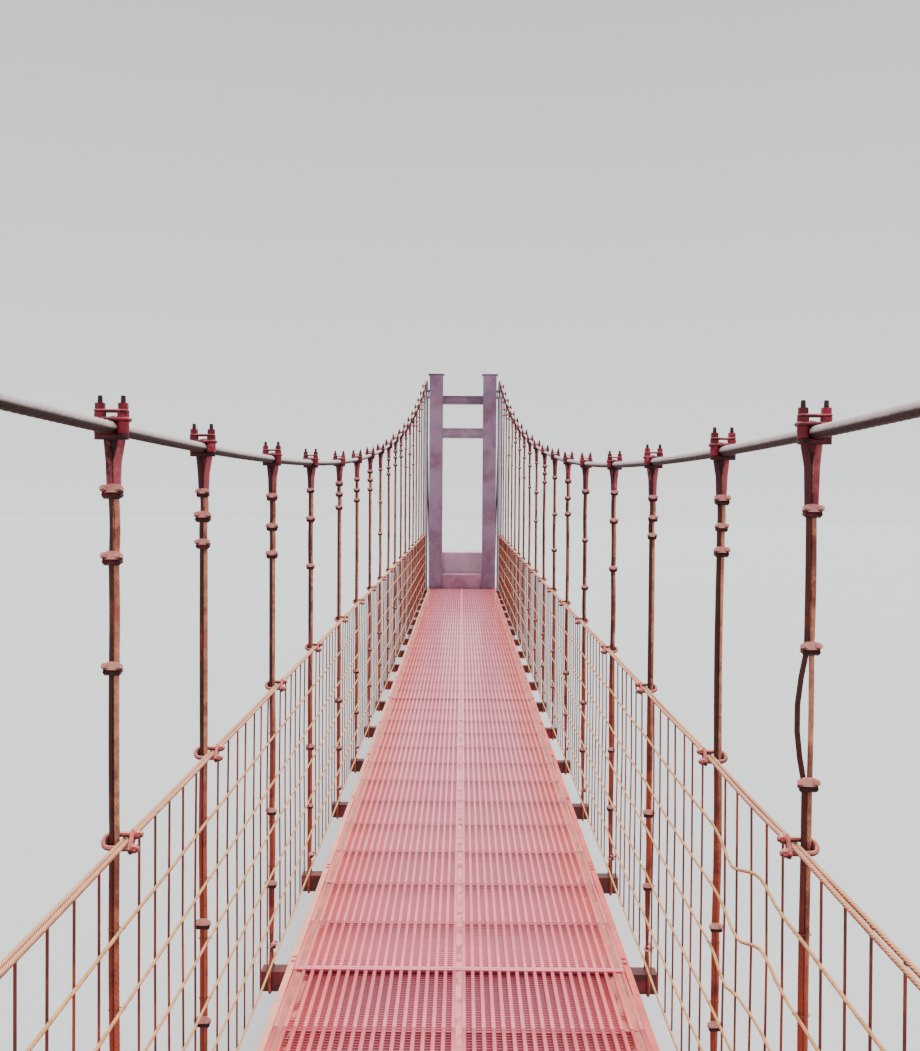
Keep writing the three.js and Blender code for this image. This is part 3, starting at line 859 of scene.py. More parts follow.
def hanger_points(x, along, drops, rng, bulge):
    """A closed loop: up on the left, over the main cable, down on the right and round the cross-beam."""
    top = cable_height(along)
    held = [DECK_TOP + height for height in LOWER_CLIPS[1:]] + [RAIL_Z]
    held += [top - drop for drop in reversed(drops)]
    joint = held[0]
    left, right = [], []
    for number, (low, high) in enumerate(zip(held, held[1:])):
        sway_x, sway_y = rng.uniform(-1, 1) * HANGER_SWAY, rng.uniform(-1, 1) * HANGER_SWAY
        slack_left, slack_right = rng.uniform(0, HANGER_SLACK), rng.uniform(0, HANGER_SLACK)
        if bulge and bulge[0] == number:
            slack_left = bulge[1]
        for share in (0.0, 0.2, 0.4, 0.6, 0.8):
            bow = math.sin(math.pi * share)
            height = low + (high - low) * share
            y = along + sway_y * bow
            left.append((x - PAIR_OFFSET + (sway_x - slack_left) * bow, y, height))
            right.append((x + PAIR_OFFSET + (sway_x + slack_right) * bow, y, height))
    for height in (held[-1], top - EYE_NECK):
        left.append((x - PAIR_OFFSET, along, height))
        right.append((x + PAIR_OFFSET, along, height))
    turn = []
    for share in (0.25, 0.5, 0.75, 1.0):
        angle = share * math.pi / 2
        height = joint + (DECK_TOP + LOWER_CLIPS[0] - joint) * share
        turn.append((PAIR_OFFSET * math.cos(angle), PAIR_OFFSET * math.sin(angle), height))
    down = [(x + across, along + ahead, height) for across, ahead, height in turn]
    up = [(x - across, along - ahead, height) for across, ahead, height in reversed(turn)]
    down_right = list(reversed(right)) + down
    return left + eye_points(x, along) + down_right + beam_loop(x, along) + up + [left[0]]


def eye_points(x, along):
    """The turn of a hanger's eye over the main cable."""
    centre = (x, along + EYE_SHIFT, cable_height(along))
    return arc(centre, EYE_RADIUS, math.pi + EYE_OPENING, -EYE_OPENING, 10)


def sheath_points(x, along, drop):
    """The eye with both its legs, down to the first clip."""
    top = cable_height(along)
    feet = [(x + shift, along, top - drop + SHEATH_END) for shift in (-SHEATH_FOOT_X, SHEATH_FOOT_X)]
    necks = [(x + shift, along, top - EYE_NECK) for shift in (-SHEATH_NECK_X, SHEATH_NECK_X)]
    return [feet[0], necks[0]] + eye_points(x, along) + [necks[1], feet[1]]


def add_wedge(bm, x, along):
    """Solid wedge that fills the eye between its legs."""
    top = cable_height(along)
    flank = EYE_RADIUS * math.cos(EYE_OPENING)
    shoulder = top - EYE_RADIUS * math.sin(EYE_OPENING)
    neck = top - EYE_NECK
    outline = [(x - flank, shoulder), (x - WEDGE_NECK, neck), (x + WEDGE_NECK, neck), (x + flank, shoulder)]
    y = along + EYE_SHIFT
    # The wedge wears the near-black finish: painted shade between the legs of the eye.
    add_profile(bm, outline, "Y", y + WEDGE_FRONT, y + WEDGE_BACK, material=2)


def beam_loop(x, along):
    """Down one side of the cross-beam, under it and up the other side."""
    out = BEAM_WIDTH / 2 + HANGER_RADIUS + GAP
    bottom = BEAM_TOP - BEAM_HEIGHT
    half = [(out * 0.62, BEAM_TOP + 0.022), (out, BEAM_TOP - 0.004), (out, bottom + 0.004),
            (out - 0.004, bottom - 0.003), (out - 0.011, bottom - HANGER_RADIUS)]
    down = [(x, along + y, z) for y, z in half]
    up = [(x, along - y, z) for y, z in reversed(half)]
    return down + up


class FOOTBRIDGE_OT_hangers(Operator):
    """Doubled hanger ropes, looped over the main cable and round the cross-beams"""
    bl_idname = "footbridge.hangers"
    bl_label = "Hangers"

    def execute(self, context):
        for name, side in SIDES:
            rng = random.Random(f"hanger ropes {name}")
            x = side * NET_X
            bm = bmesh.new()
            for number, along, drops in hanger_plans(name):
                points = hanger_points(x, along, drops, rng, BULGES.get((name, number)))
                add_strand(bm, points, HANGER_RADIUS)
                add_strand(bm, sheath_points(x, along, drops[0]), SHEATH_RADIUS, material=1)
                add_wedge(bm, x, along)
            add_object(f"{name}_hanger_ropes", bm, ["hanger", "sheath", "grimy_iron"],
                       ROPE_ANGLE, [f"{name}_hangers_and_rail_{third}" for third in THIRDS])
        return {"FINISHED"}


# Clips and clamps

CLIP_ROD = 0.0036
CLIP_LEG_X = 0.0144
CLIP_BITE = 0.0008
CLIP_TAIL = 0.019
CLIP_SADDLE_DEPTH, CLIP_FOOT_DEPTH = 0.010, 0.007
CLIP_TILT, RAIL_TILT = math.radians(-28), -math.pi / 4
CLIP_TURN, RAIL_TURN = 0.12, 0.08
CLIP_DRIFT = 0.002
CLIP_SIZES = (0.85, 0.95, 1.0, 1.05)
CLIP_SADDLE = ((-0.0170, -0.0045), (0.0170, -0.0045), (0.0205, 0.001), (0.0190, 0.009), (0.0085, 0.0135),
               (-0.0085, 0.0135), (-0.0190, 0.009), (-0.0205, 0.001))
CLIP_FOOT = ((-0.0150, -0.0130), (0.0150, -0.0130), (0.0185, -0.0085), (0.0175, -0.0040), (-0.0175, -0.0040),
             (-0.0185, -0.0085))
CLIP_NUT = ((-0.0095, -0.0155, 0.0070, 6),)
CLAMP_SHIFT = -0.011
CLAMP_ROD = 0.0048
CLAMP_LEG_X = 0.022
# The lowest part of each sleeve wears the near-black finish too: painted shade beneath the cable.
CLAMP_LEG = (
    (-0.022, -0.010, 0.0108, 12, 2),
    (-0.010, 0.0295, 0.0114, 12),
    (0.0355, 0.0475, 0.0100, 6),
    (0.0475, 0.0615, CLAMP_ROD * 1.1, 8, 1, 0.85),
)
RAIL_ROD = 0.0056
RAIL_BOW = 0.0148
RAIL_LEG = (
    (-0.0105, -0.008, 0.0098, 12),
    (-0.0175, -0.0105, 0.0084, 6),
)


def rope_clip_mesh():
    """Saddle and nuts in front of a pair of ropes, side by side along X, and a U-bolt behind them."""
    bm = bmesh.new()
    leg, back, front = CLIP_LEG_X, HANGER_RADIUS + CLIP_ROD, -HANGER_RADIUS + CLIP_BITE
    half = [(leg, front - CLIP_TAIL), (leg, 0.005), (leg - 0.0045, back)]
    points = [(-x, y, 0) for x, y in half] + [(x, y, 0) for x, y in reversed(half)]
    add_strand(bm, points, CLIP_ROD, (0, 0, 1), sides=6)
    add_profile(bm, CLIP_SADDLE, "Y", front - CLIP_SADDLE_DEPTH, front)
    # The foot under the saddle wears the near-black finish: painted shade beneath the clip.
    add_profile(bm, CLIP_FOOT, "Y", front - CLIP_FOOT_DEPTH, front, material=1)
    for x in (-leg, leg):
        add_stack(bm, (x, front, 0.002), 1, CLIP_NUT)
    bmesh.ops.rotate(bm, cent=(0, 0, 0), matrix=Matrix.Rotation(CLIP_TILT, 3, "X"), verts=bm.verts)
    return mesh_from("rope_clip", bm)


def cable_clamp_mesh():
    """U-bolt, sleeves, bridges and nuts on the main cable, which runs along Y through the origin."""
    bm = bmesh.new()
    leg, top = CLAMP_LEG_X, CABLE_RADIUS
    bow = arc((0, 0, leg - CLAMP_ROD - top), leg, math.pi, math.tau, 8)
    # The U-bolt and the plate under the cable wear the near-black finish: painted shade beneath the cable.
    add_strand(bm, [(-leg, 0, 0.02)] + bow + [(leg, 0, 0.02)], CLAMP_ROD, material=2)
    add_block(bm, (-0.027, -0.011, -top - 0.009), (0.027, 0.009, -top + 0.001), 0.003, material=2)
    add_block(bm, (-0.036, -0.013, top - 0.001), (0.036, 0.012, top + 0.008), 0.003)
    add_block(bm, (-0.031, -0.0115, 0.0295), (0.031, 0.0115, 0.0355), 0.002)
    for x in (-leg, leg):
        add_stack(bm, (x, 0, 0), 2, CLAMP_LEG)
    return mesh_from("cable_clamp", bm)


def rail_clamp_mesh():
    """U-bolt round a hanger and both handrail ropes, tilted, with a saddle and two nuts on the inner side.

    Its origin is the hanger's axis at the height of the handrail, on the side where X points outwards.
    """
    bm = bmesh.new()
    bow = arc((0.0060, 0, 0), RAIL_BOW, math.pi / 2, -math.pi / 2, 8)
    face = RAIL_INNER_X - RAIL_ROPE_RADIUS - NET_X
    tip = face - 0.022
    add_strand(bm, [(tip, 0, RAIL_BOW)] + bow + [(tip, 0, -RAIL_BOW)], RAIL_ROD)
    add_block(bm, (face - 0.008, -0.0105, -0.024), (face + 0.0003, 0.0105, 0.024), 0.003)
    # A near-black block fills the bow's opening: painted shade in the hole.
    add_block(bm, (0.0096, -0.006, -0.0094), (0.0156, 0.006, 0.0094), 0.002, material=1)
    for z in (-RAIL_BOW, RAIL_BOW):
        add_stack(bm, (face, 0, z), 0, RAIL_LEG)
    bmesh.ops.rotate(bm, cent=(0, 0, 0), matrix=Matrix.Rotation(RAIL_TILT, 3, "X"), verts=bm.verts)
    return mesh_from("rail_clamp", bm)


class FOOTBRIDGE_OT_clamps(Operator):
    """Cable clamps, rope clips and handrail clamps of every hanger"""
    bl_idname = "footbridge.clamps"
    bl_label = "Clamps and clips"

    def execute(self, context):
        clip, cable_clamp, rail_clamp = rope_clip_mesh(), cable_clamp_mesh(), rail_clamp_mesh()
        for name, side in SIDES:
            turns = random.Random(f"clips {name}")
            clamps, clips, rail_clamps = bmesh.new(), bmesh.new(), bmesh.new()
            x = side * NET_X
            for _, along, drops in hanger_plans(name):
                y = along + CLAMP_SHIFT
                put(clamps, cable_clamp, at(x, y, cable_height(y), cable_slope(y), "X"))
                top = cable_height(along)
                heights = [top - drop for drop in drops] + [DECK_TOP + height for height in LOWER_CLIPS]
                for height in heights:
                    turn = turns.uniform(-CLIP_TURN, CLIP_TURN)
                    if height == DECK_TOP + LOWER_CLIPS[0]:
                        turn += math.pi / 2
                    size = turns.choice(CLIP_SIZES)
                    z = height + turns.uniform(-CLIP_DRIFT, CLIP_DRIFT)
                    put(clips, clip, at(x, along, z, turn) @ Matrix.Diagonal((size, 1, size, 1)))
                turn = turns.uniform(-RAIL_TURN, RAIL_TURN)
                put(rail_clamps, rail_clamp, at(x, along, RAIL_Z, turn, flip=side))
            add_object(f"{name}_cable_clamps", clamps, ["ironwork", "thread", "grimy_iron"])
            add_object(f"{name}_rope_clips", clips, ["clip", "grimy_iron"])
            add_object(f"{name}_rail_clamps", rail_clamps, ["rail_iron", "grimy_iron"])
        return {"FINISHED"}


# Handrails, side wires and fence wires

POINTS_A_BAY = 12
RAIL_RING, WIRE_RING = 0.045, 0.04
RAIL_SLACK = 0.004
RAIL_SPREAD = {"left": 0.0008, "right": 0.0065}
TIE_RADIUS = 0.0011
FENCE_RADIUS = 0.0030
FENCE_X = WIRE_X + WIRE_RADIUS + FENCE_RADIUS
FENCE_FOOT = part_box("left_side_wire_1")[0][2] - 0.012
FENCE_HEIGHT = RAIL_Z - FENCE_FOOT
FENCE_DRIFT, FENCE_LEAN, FENCE_BOW = 0.008, 0.010, 0.003
KINK_WIDTH = 0.085
SHOWN_KINKS = {
    "right_side_wire_6": ((-0.36, -0.034), (-0.60, 0.026)),
    "right_side_wire_5": ((-0.40, -0.030), (-0.62, 0.030)),
    "right_side_wire_4": ((-0.30, -0.035), (-0.60, 0.012)),
}


def wandering_points(x, z, sag, swing, rng, from_y, to_y, kinks=()):
    """Points of a rope, kinked or not, that is held at each hanger and wanders a little between them."""
    held = [from_y, *HANGERS.values(), to_y]
    points = [(x, from_y, z)]
    for start, stop in zip(held, held[1:]):
        bay_sag = rng.uniform(0.2, 1.0) * sag
        bay_swing = rng.uniform(0.0, 1.0) * swing
        skew = rng.uniform(0.7, 1.5)
        for step in range(1, POINTS_A_BAY + 1):
            share = step / POINTS_A_BAY
            along = start + (stop - start) * share
            bow = math.sin(math.pi * share ** skew)
            lift = sum(rise * math.exp(-((along - place) / KINK_WIDTH) ** 2) for place, rise in kinks)
            points.append((x + bay_swing * bow, along, z - bay_sag * bow + lift))
    return points


class FOOTBRIDGE_OT_handrails(Operator):
    """Two handrail ropes a side, on the inner face of the hangers"""
    bl_idname = "footbridge.handrails"
    bl_label = "Handrails"

    def execute(self, context):
        reach = HALF_SPAN - POST_RADIUS
        for name, side in SIDES:
            rng = random.Random(f"handrail {name}")
            bm = bmesh.new()
            for x, spread in ((RAIL_OUTER_X, 0.0), (RAIL_INNER_X, RAIL_SPREAD[name])):
                points = wandering_points(side * x, RAIL_Z, RAIL_SLACK, -side * spread, rng, -reach, reach)
                add_rope(bm, Route(points), RAIL_ROPE_RADIUS, RAIL_RING)
            add_object(f"{name}_handrail_ropes", bm, ["rail"], ROPE_ANGLE)
        return {"FINISHED"}


def wire_tie_mesh(outer_x, half_depth):
    """Turn of thin wire round a hanger and a side wire; its origin is the side wire's axis."""
    bm = bmesh.new()
    inner = WIRE_RADIUS + TIE_RADIUS
    outer = outer_x - WIRE_X + TIE_RADIUS
    deep = half_depth + TIE_RADIUS
    points = [(-inner, -0.003, 0.001), (-inner, 0.003, 0.0), (-inner * 0.3, deep * 0.85, 0.0),
              (outer * 0.8, deep, 0.0), (outer, deep * 0.5, 0.0), (outer, -deep * 0.5, -0.001),
              (outer * 0.8, -deep, -0.001), (-inner * 0.3, -deep * 0.85, 0.0), (-inner, -0.003, 0.001)]
    add_strand(bm, points, TIE_RADIUS, (0, 0, 1), sides=4)
    return mesh_from("wire_tie", bm)


class FOOTBRIDGE_OT_side_wires(Operator):
    """Six side wires a side, tied to each hanger"""
    bl_idname = "footbridge.side_wires"
    bl_label = "Side wires"

    def execute(self, context):
        sizes = context.scene.footbridge_sizes
        slacks = {"left": sizes.left_slack, "right": sizes.right_slack}
        flat_tie = wire_tie_mesh(NET_X + PAIR_OFFSET + HANGER_RADIUS, HANGER_RADIUS)
        deep_tie = wire_tie_mesh(NET_X + HANGER_RADIUS, PAIR_OFFSET + HANGER_RADIUS)
        for name, side in SIDES:
            ties = bmesh.new()
            x, slack = side * WIRE_X, slacks[name]
            for row in range(1, 7):
                node = f"{name}_side_wire_{row}"
                low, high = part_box(node)
                z = middle(node, 2)
                bm = bmesh.new()
                points = wandering_points(x, z, slack, -side * slack * 0.4, random.Random(node), low[1],
                                          high[1], SHOWN_KINKS.get(node, ()))
                add_rope(bm, Route(points), WIRE_RADIUS, WIRE_RING, sides=6)
                add_object(f"{name}_wire_rope_{row}", bm, ["wire"], ROPE_ANGLE, [node])
                tie = flat_tie if z > DECK_TOP + LOWER_CLIPS[1] else deep_tie
                for along in HANGERS.values():
                    put(ties, tie, at(x, along, z, flip=side))
            add_object(f"{name}_wire_ties", ties, ["fence"])
        return {"FINISHED"}


class FOOTBRIDGE_OT_fence_wires(Operator):
    """Thin upright wires between the hangers, tied to the back of the handrail"""
    bl_idname = "footbridge.fence_wires"
    bl_label = "Fence wires"

    def execute(self, context):
        pitch = context.scene.footbridge_sizes.fence_pitch
        held = [-DECK_END, *HANGERS.values(), DECK_END]
        for name, side in SIDES:
            rng = random.Random(f"fence {name}")
            bm = bmesh.new()
            for start, stop in zip(held, held[1:]):
                gaps = round((stop - start) / pitch)
                for step in range(1, gaps):
                    along = start + (stop - start) * step / gaps + rng.uniform(-FENCE_DRIFT, FENCE_DRIFT)
                    lean = rng.uniform(-FENCE_LEAN, FENCE_LEAN)
                    bow = rng.uniform(0.0, FENCE_BOW)
                    points = [
                        (side * FENCE_X, along + lean, FENCE_FOOT),
                        (side * FENCE_X, along + lean * 0.6, FENCE_FOOT + FENCE_HEIGHT * 0.33),
                        (side * (FENCE_X + bow), along + lean * 0.2, FENCE_FOOT + FENCE_HEIGHT * 0.66),
                        (side * (FENCE_X - 0.0012), along, RAIL_Z - 0.004),
                    ]
                    add_strand(bm, points, FENCE_RADIUS, sides=5)
            add_object(f"{name}_fence_wires", bm, ["fence"], ROPE_ANGLE)
        return {"FINISHED"}


# Gratings

SEAM_BAR = 0.013
SEAM_GAP = 0.020
SEAM_FILL = (0.0015, 0.009)
PANEL_GAP = 0.0012
PANEL_LENGTH = 0.41
PANEL_DROP = 0.0012
FLAT_THICKNESS = 0.0035
FLAT_DEPTH = 0.014
SHALLOW_FLAT_DEPTH = 0.008
CHAMFER = 0.002
FLAT_INSET, FLAT_PLAY = 0.001, 0.0005
LANE_REACH = WALKWAY_HALF - EDGE_STRIP - GAP
LANE_WIDTH = LANE_REACH - SEAM_GAP / 2
STRIP_JOINTS = (-5.7, 0.78, 5.7)
STRIP_WIDTH = 0.024
STRIP_RISE = 0.001
STRIP_DEPTH = 0.006
CLOGGED = ((0.003, 0.011), (0.007, 0.026))
DIRT_STEP = 0.06
DIRT_BASE = 0.006


def panel_joints():
    """Where one grating panel ends and the next begins."""
    breaks = [-DECK_END, *STRIP_JOINTS, DECK_END]
    joints = [breaks[0]]
    for start, stop in zip(breaks, breaks[1:]):
        panels = round((stop - start) / PANEL_LENGTH)
        joints += [start + (stop - start) * number / panels for number in range(1, panels + 1)]
    return joints


def bar_ends(sizes):
    """Outer faces of the lengthwise bars between the seam bar and the edge of a lane."""
    span = LANE_WIDTH - SEAM_BAR
    bars = round(span / sizes.bar_pitch)
    return [SEAM_BAR + span * number / bars for number in range(1, bars + 1)]


def grating_panel_mesh(sizes, panel_length, flat_depth):
    """One lane of one panel from x = 0 outwards: seam bar, lengthwise bars, cross flats and end flats."""
    bm = bmesh.new()
    half = (panel_length - PANEL_GAP) / 2
    depth = DECK_TOP - DECK_BOTTOM
    bars = [(0.0, SEAM_BAR)] + [(end - sizes.bar_width, end) for end in bar_ends(sizes)]
    for low, high in bars:
        outline = [(low, -depth), (high, -depth), (high, -CHAMFER), (high - CHAMFER, 0.0),
                   (low + CHAMFER, 0.0), (low, -CHAMFER)]
        add_profile(bm, outline, "Y", -half, half)
    flats = round(panel_length / sizes.flat_pitch)
    reach = half - FLAT_THICKNESS / 2 - FLAT_PLAY
    for number in range(flats + 1):
        y = -reach + number * 2 * reach / flats
        low, high = y - FLAT_THICKNESS / 2, y + FLAT_THICKNESS / 2
        add_block(bm, (FLAT_INSET, low, -depth), (LANE_WIDTH - FLAT_INSET, high, -flat_depth))
    return mesh_from("grating_panel", bm)


def add_filling(bm, rng, across, along, depths, material):
    """One lumpy strip that fills a gap between bars to somewhere between two depths."""
    part = box_between((across[0], along[0], DECK_BOTTOM), (across[1], along[1], DECK_BOTTOM + DIRT_BASE))
    run = along[1] - along[0]
    long_edges = [edge for edge in part.edges if abs(edge.verts[0].co.y - edge.verts[1].co.y) > run / 2]
    bmesh.ops.subdivide_edges(part, edges=long_edges, cuts=round(run / DIRT_STEP))
    for vert in part.verts:
        if vert.co.z > DECK_BOTTOM + DIRT_BASE / 2:
            vert.co.z = DECK_TOP - rng.uniform(*depths)
    merge_into(bm, part, material)


def mark_panels(bm, joints, tones):
    """A map that tells the paint how far along its panel a place is, and the panel's tone."""
    layer = bm.loops.layers.uv.new("panel")
    for face in bm.faces:
        number = max(bisect_right(joints, face.calc_center_median().y) - 1, 0)
        number = min(number, len(joints) - 2)
        start, stop = joints[number], joints[number + 1]
        for loop in face.loops:
            loop[layer].uv = ((loop.vert.co.y - start) / (stop - start), tones[number])


class FOOTBRIDGE_OT_gratings(Operator):
    """Bar gratings in two lanes of short panels, with dirt caked between the outer bars"""
    bl_idname = "footbridge.gratings"
    bl_label = "Gratings"

    def execute(self, context):
        sizes = context.scene.footbridge_sizes
        rng = random.Random("gratings")
        joints = panel_joints()
        tones = [rng.random() for _ in joints]
        shapes = {}
        breaks = (-DECK_END, STRIP_JOINTS[0], STRIP_JOINTS[-1], DECK_END)
        for third, first, last in zip(THIRDS, breaks, breaks[1:]):
            bm = bmesh.new()
            for start, stop in zip(joints, joints[1:]):
                if first < (start + stop) / 2 < last:
                    self.panel(bm, sizes, rng, shapes, start, stop)
            for joint in STRIP_JOINTS:
                self.joint_strips(bm, joint, first, last)
            mark_panels(bm, joints, tones)
            add_object(f"bar_grating_{third}", bm, ["grating", "band", "dirt", "seam"],
                       nodes=[f"deck_grating_{third}"])
        return {"FINISHED"}

    def panel(self, bm, sizes, rng, shapes, start, stop):
        """Both lanes of one panel, with dirt high at the edge of the deck and lower inwards."""
        shallow = abs(start + stop) / 2 > SHALLOW_FROM
        shape = (round(stop - start, 4), SHALLOW_FLAT_DEPTH if shallow else FLAT_DEPTH)
        if shape not in shapes:
            shapes[shape] = grating_panel_mesh(sizes, *shape)
        ends = bar_ends(sizes)
        gaps = [(low, high - sizes.bar_width) for low, high in zip(ends, ends[1:])]
        for side in (-1, 1):
            top = DECK_TOP - rng.uniform(0.0, PANEL_DROP)
            put(bm, shapes[shape], at(side * SEAM_GAP / 2, (start + stop) / 2, top, flip=side))
            for gap, depths in zip(reversed(gaps), CLOGGED):
                across = sorted(side * (x + SEAM_GAP / 2) for x in gap)
                add_filling(bm, rng, across, (start, stop), depths, 2)
        add_filling(bm, rng, (-SEAM_GAP / 2, SEAM_GAP / 2), (start, stop), SEAM_FILL, 3)

    def joint_strips(self, bm, joint, first, last):
        """The two bright flats of a joint line, each on the grating that it ends."""
        for side in (-1, 1):
            y = joint + side * (STRIP_WIDTH / 4 + PANEL_GAP / 2)
            if first < y < last:
                add_block(bm, (-LANE_REACH, y - STRIP_WIDTH / 4, DECK_TOP - STRIP_DEPTH),
                          (LANE_REACH, y + STRIP_WIDTH / 4, DECK_TOP + STRIP_RISE), 0.001, material=1)


# Deck frame

FRAME_WALL = 0.005
BOLT_SIDE = 0.014
BOLT_SHIFT = 0.018
BOLT_RADIUS = 0.008
BOLT_HEIGHT = 0.005
LAST_BEAM = HALF_SPAN - 0.25


class FOOTBRIDGE_OT_deck_frame(Operator):
    """Cross-beams of channel and edge angles, with bolts at each joint"""
    bl_idname = "footbridge.deck_frame"
    bl_label = "Deck frame"

    def execute(self, context):
        beam_mesh = self.cross_beam()
        for third in THIRDS:
            node = f"deck_frame_{third}"
            low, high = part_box(node)
            bm = bmesh.new()
            for paint, (_, side) in enumerate(SIDES, start=1):
                outer, inner = side * WALKWAY_HALF, side * (WALKWAY_HALF - EDGE_STRIP)
                web = outer - side * FRAME_WALL
                foot, flange = BEAM_TOP + 0.0002, EDGE_TOP - FRAME_WALL
                section = [(outer, foot), (outer, EDGE_TOP), (inner, EDGE_TOP), (inner, flange),
                           (web, flange), (web, foot)]
                add_profile(bm, section, "Y", low[1], high[1], material=paint)
            for along in (*HANGERS.values(), -LAST_BEAM, LAST_BEAM):
                if low[1] < along < high[1]:
                    put(bm, beam_mesh, at(0, along, 0))
            add_object(f"beams_and_edges_{third}", bm, ["beam", "left_edge", "right_edge"],
                       nodes=[node])
        return {"FINISHED"}

    def cross_beam(self):
        beam = bmesh.new()
        add_profile(beam, channel(BEAM_WIDTH, BEAM_HEIGHT, FRAME_WALL), "X", -DECK_HALF, DECK_HALF)
        bmesh.ops.translate(beam, vec=(0, 0, BEAM_TOP), verts=beam.verts)
        for paint, (_, side) in enumerate(SIDES, start=1):
            for shift in (-BOLT_SHIFT, BOLT_SHIFT):
                place = (side * (WALKWAY_HALF - BOLT_SIDE), shift, EDGE_TOP)
                add_stack(beam, place, 2, [(0, BOLT_HEIGHT, BOLT_RADIUS, 6, paint)])
        return mesh_from("cross_beam", beam)


# Towers

COLUMN_INNER, COLUMN_OUTER = 0.36, 0.60
COLUMN_HALF = 0.12
COLUMN_BEVEL = 0.012
PLATE_XS = (0.362, 0.730)
PLATE_HALF = 0.17
PLATE_THICKNESS = 0.02
CAP_OVERHANG = 0.025
CAP_THICKNESS = 0.016
CAP_BEVEL = 0.004
STIFFENER_HALF = 0.165
STIFFENER_HEIGHT = 0.12
STIFFENER_SPACING = 0.12
STIFFENER_THICKNESS = 0.01
BOLT_PLACES = [(x, y) for x in (0.385, 0.575) for y in (-0.145, 0.145)] + [(0.705, -0.13), (0.705, 0.13)]
ANCHOR_BOLT = (
    (0, 0.0048, 0.021, 14),
    (0.0048, 0.016, 0.014, 6),
    (0.016, 0.032, 0.007, 8),
)
BRACKET_BOTTOM = DECK_TOP + 3.43
BRACKET_TOP = BRACKET_BOTTOM + 0.13
BRACKET_YS = (HALF_SPAN - 0.12, HALF_SPAN + 0.242)
BRACKET_XS = (COLUMN_OUTER - 0.01, 0.727)
BRACKET_PLATE = 0.014
BRACKET_WEBS = (0.625, 0.667, 0.709)
BRACKET_WEB_HALF, BRACKET_WEB_INSET = 0.006, 0.012
SADDLE_CHEEKS = ((-0.030, -0.0135, 0.010), (-0.0135, 0.0135, 0.0), (0.0135, 0.030, 0.010))
SADDLE_STEPS = 12
SADDLE_PLAY, SADDLE_LIP = 0.0005, 0.001
PLAIN_BEVEL = 0.003
TOWER_FLANGE, TOWER_WEB = 0.012, 0.010
END_PLATE, END_BEVEL = 0.012, 0.002
POST_SIDES = 32
COLLAR_HEIGHT, COLLAR_WALL = 0.02, 0.004
LOW_COLLAR = DECK_TOP + 0.3


class FOOTBRIDGE_OT_towers(Operator):
    """Columns with base plate, stiffeners, cap, bracket and saddle, and the beams between them"""
    bl_idname = "footbridge.towers"
    bl_label = "Towers"

    def execute(self, context):
        for end_name, end in ENDS:
            for side_name, side in SIDES:
                self.column(f"{end_name}_{side_name}", end, side)
            for beam in ("lintel", "top_beam"):
                self.beam(f"{end_name}_tower_{beam}")
        return {"FINISHED"}

    def column(self, name, end, side):
        node = f"{name}_tower_column"
        low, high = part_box(node)
        plate_top, cap_bottom = low[2] + PLATE_THICKNESS, high[2] - CAP_THICKNESS
        inner, outer = COLUMN_INNER, COLUMN_OUTER
        bm = bmesh.new()

        def block(xs, half, zs, bevel=PLAIN_BEVEL):
            ys = (HALF_SPAN - half, HALF_SPAN + half)
            add_block(bm, *mirrored(side, end, xs, ys, zs), bevel)

        block((inner, outer), COLUMN_HALF, (plate_top, cap_bottom), COLUMN_BEVEL)
        block(PLATE_XS, PLATE_HALF, (low[2], plate_top))
        cap_xs = (inner - CAP_OVERHANG, outer + CAP_OVERHANG)
        block(cap_xs, COLUMN_HALF + CAP_OVERHANG, (cap_bottom, high[2]), CAP_BEVEL)
        zs = (plate_top, plate_top + STIFFENER_HEIGHT)
        for x in (inner, inner + STIFFENER_SPACING):
            for out in (-1, 1):
                ys = sorted(HALF_SPAN + out * half for half in (COLUMN_HALF, STIFFENER_HALF))
                xs = (x, x + STIFFENER_THICKNESS)
                add_block(bm, *mirrored(side, end, xs, ys, zs), PLAIN_BEVEL)
        for x, y in BOLT_PLACES:
            add_stack(bm, (side * x, end * HALF_SPAN + y, plate_top), 2, ANCHOR_BOLT)
        self.bracket(bm, end, side)
        add_object(f"{name}_column_dressed", bm, ["tower"], nodes=[node])

    def bracket(self, bm, end, side):
        """Plates under the saddle, and the saddle's grooved block."""
        bottom, top = BRACKET_BOTTOM, BRACKET_TOP
        for zs in ((top - BRACKET_PLATE, top), (bottom, bottom + BRACKET_PLATE)):
            add_block(bm, *mirrored(side, end, BRACKET_XS, BRACKET_YS, zs), PLAIN_BEVEL)
        ys = (BRACKET_YS[0] + BRACKET_WEB_INSET, BRACKET_YS[1] - BRACKET_WEB_INSET)
        for x in BRACKET_WEBS:
            xs = (x - BRACKET_WEB_HALF, x + BRACKET_WEB_HALF)
            zs = (bottom + BRACKET_PLATE, top - BRACKET_PLATE)
            add_block(bm, *mirrored(side, end, xs, ys, zs))
        for x0, x1, rise in SADDLE_CHEEKS:
            radius = SADDLE_RADIUS - CABLE_RADIUS - SADDLE_PLAY + rise
            seat = saddle_arc(radius, SADDLE_STEPS)
            outline = [(end * seat[0][0], top)]
            outline += [(end * along, max(height, top + SADDLE_LIP)) for along, height in seat]
            outline.append((end * seat[-1][0], top))
            add_profile(bm, outline, "X", side * NET_X + x0, side * NET_X + x1)

    def beam(self, node):
        low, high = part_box(node)
        bm = bmesh.new()
        section = i_section(high[1] - low[1], high[2] - low[2], TOWER_FLANGE, TOWER_WEB)
        outline = [(middle(node, 1) + y, middle(node, 2) + z) for y, z in section]
        add_profile(bm, outline, "X", low[0] + END_PLATE, high[0] - END_PLATE)
        for x0, x1 in ((low[0], low[0] + END_PLATE), (high[0] - END_PLATE, high[0])):
            add_block(bm, (x0, low[1], low[2]), (x1, high[1], high[2]), END_BEVEL)
        finish = "lintel" if node.endswith("lintel") else "tower"
        add_object(f"{node}_dressed", bm, [finish], nodes=[node])


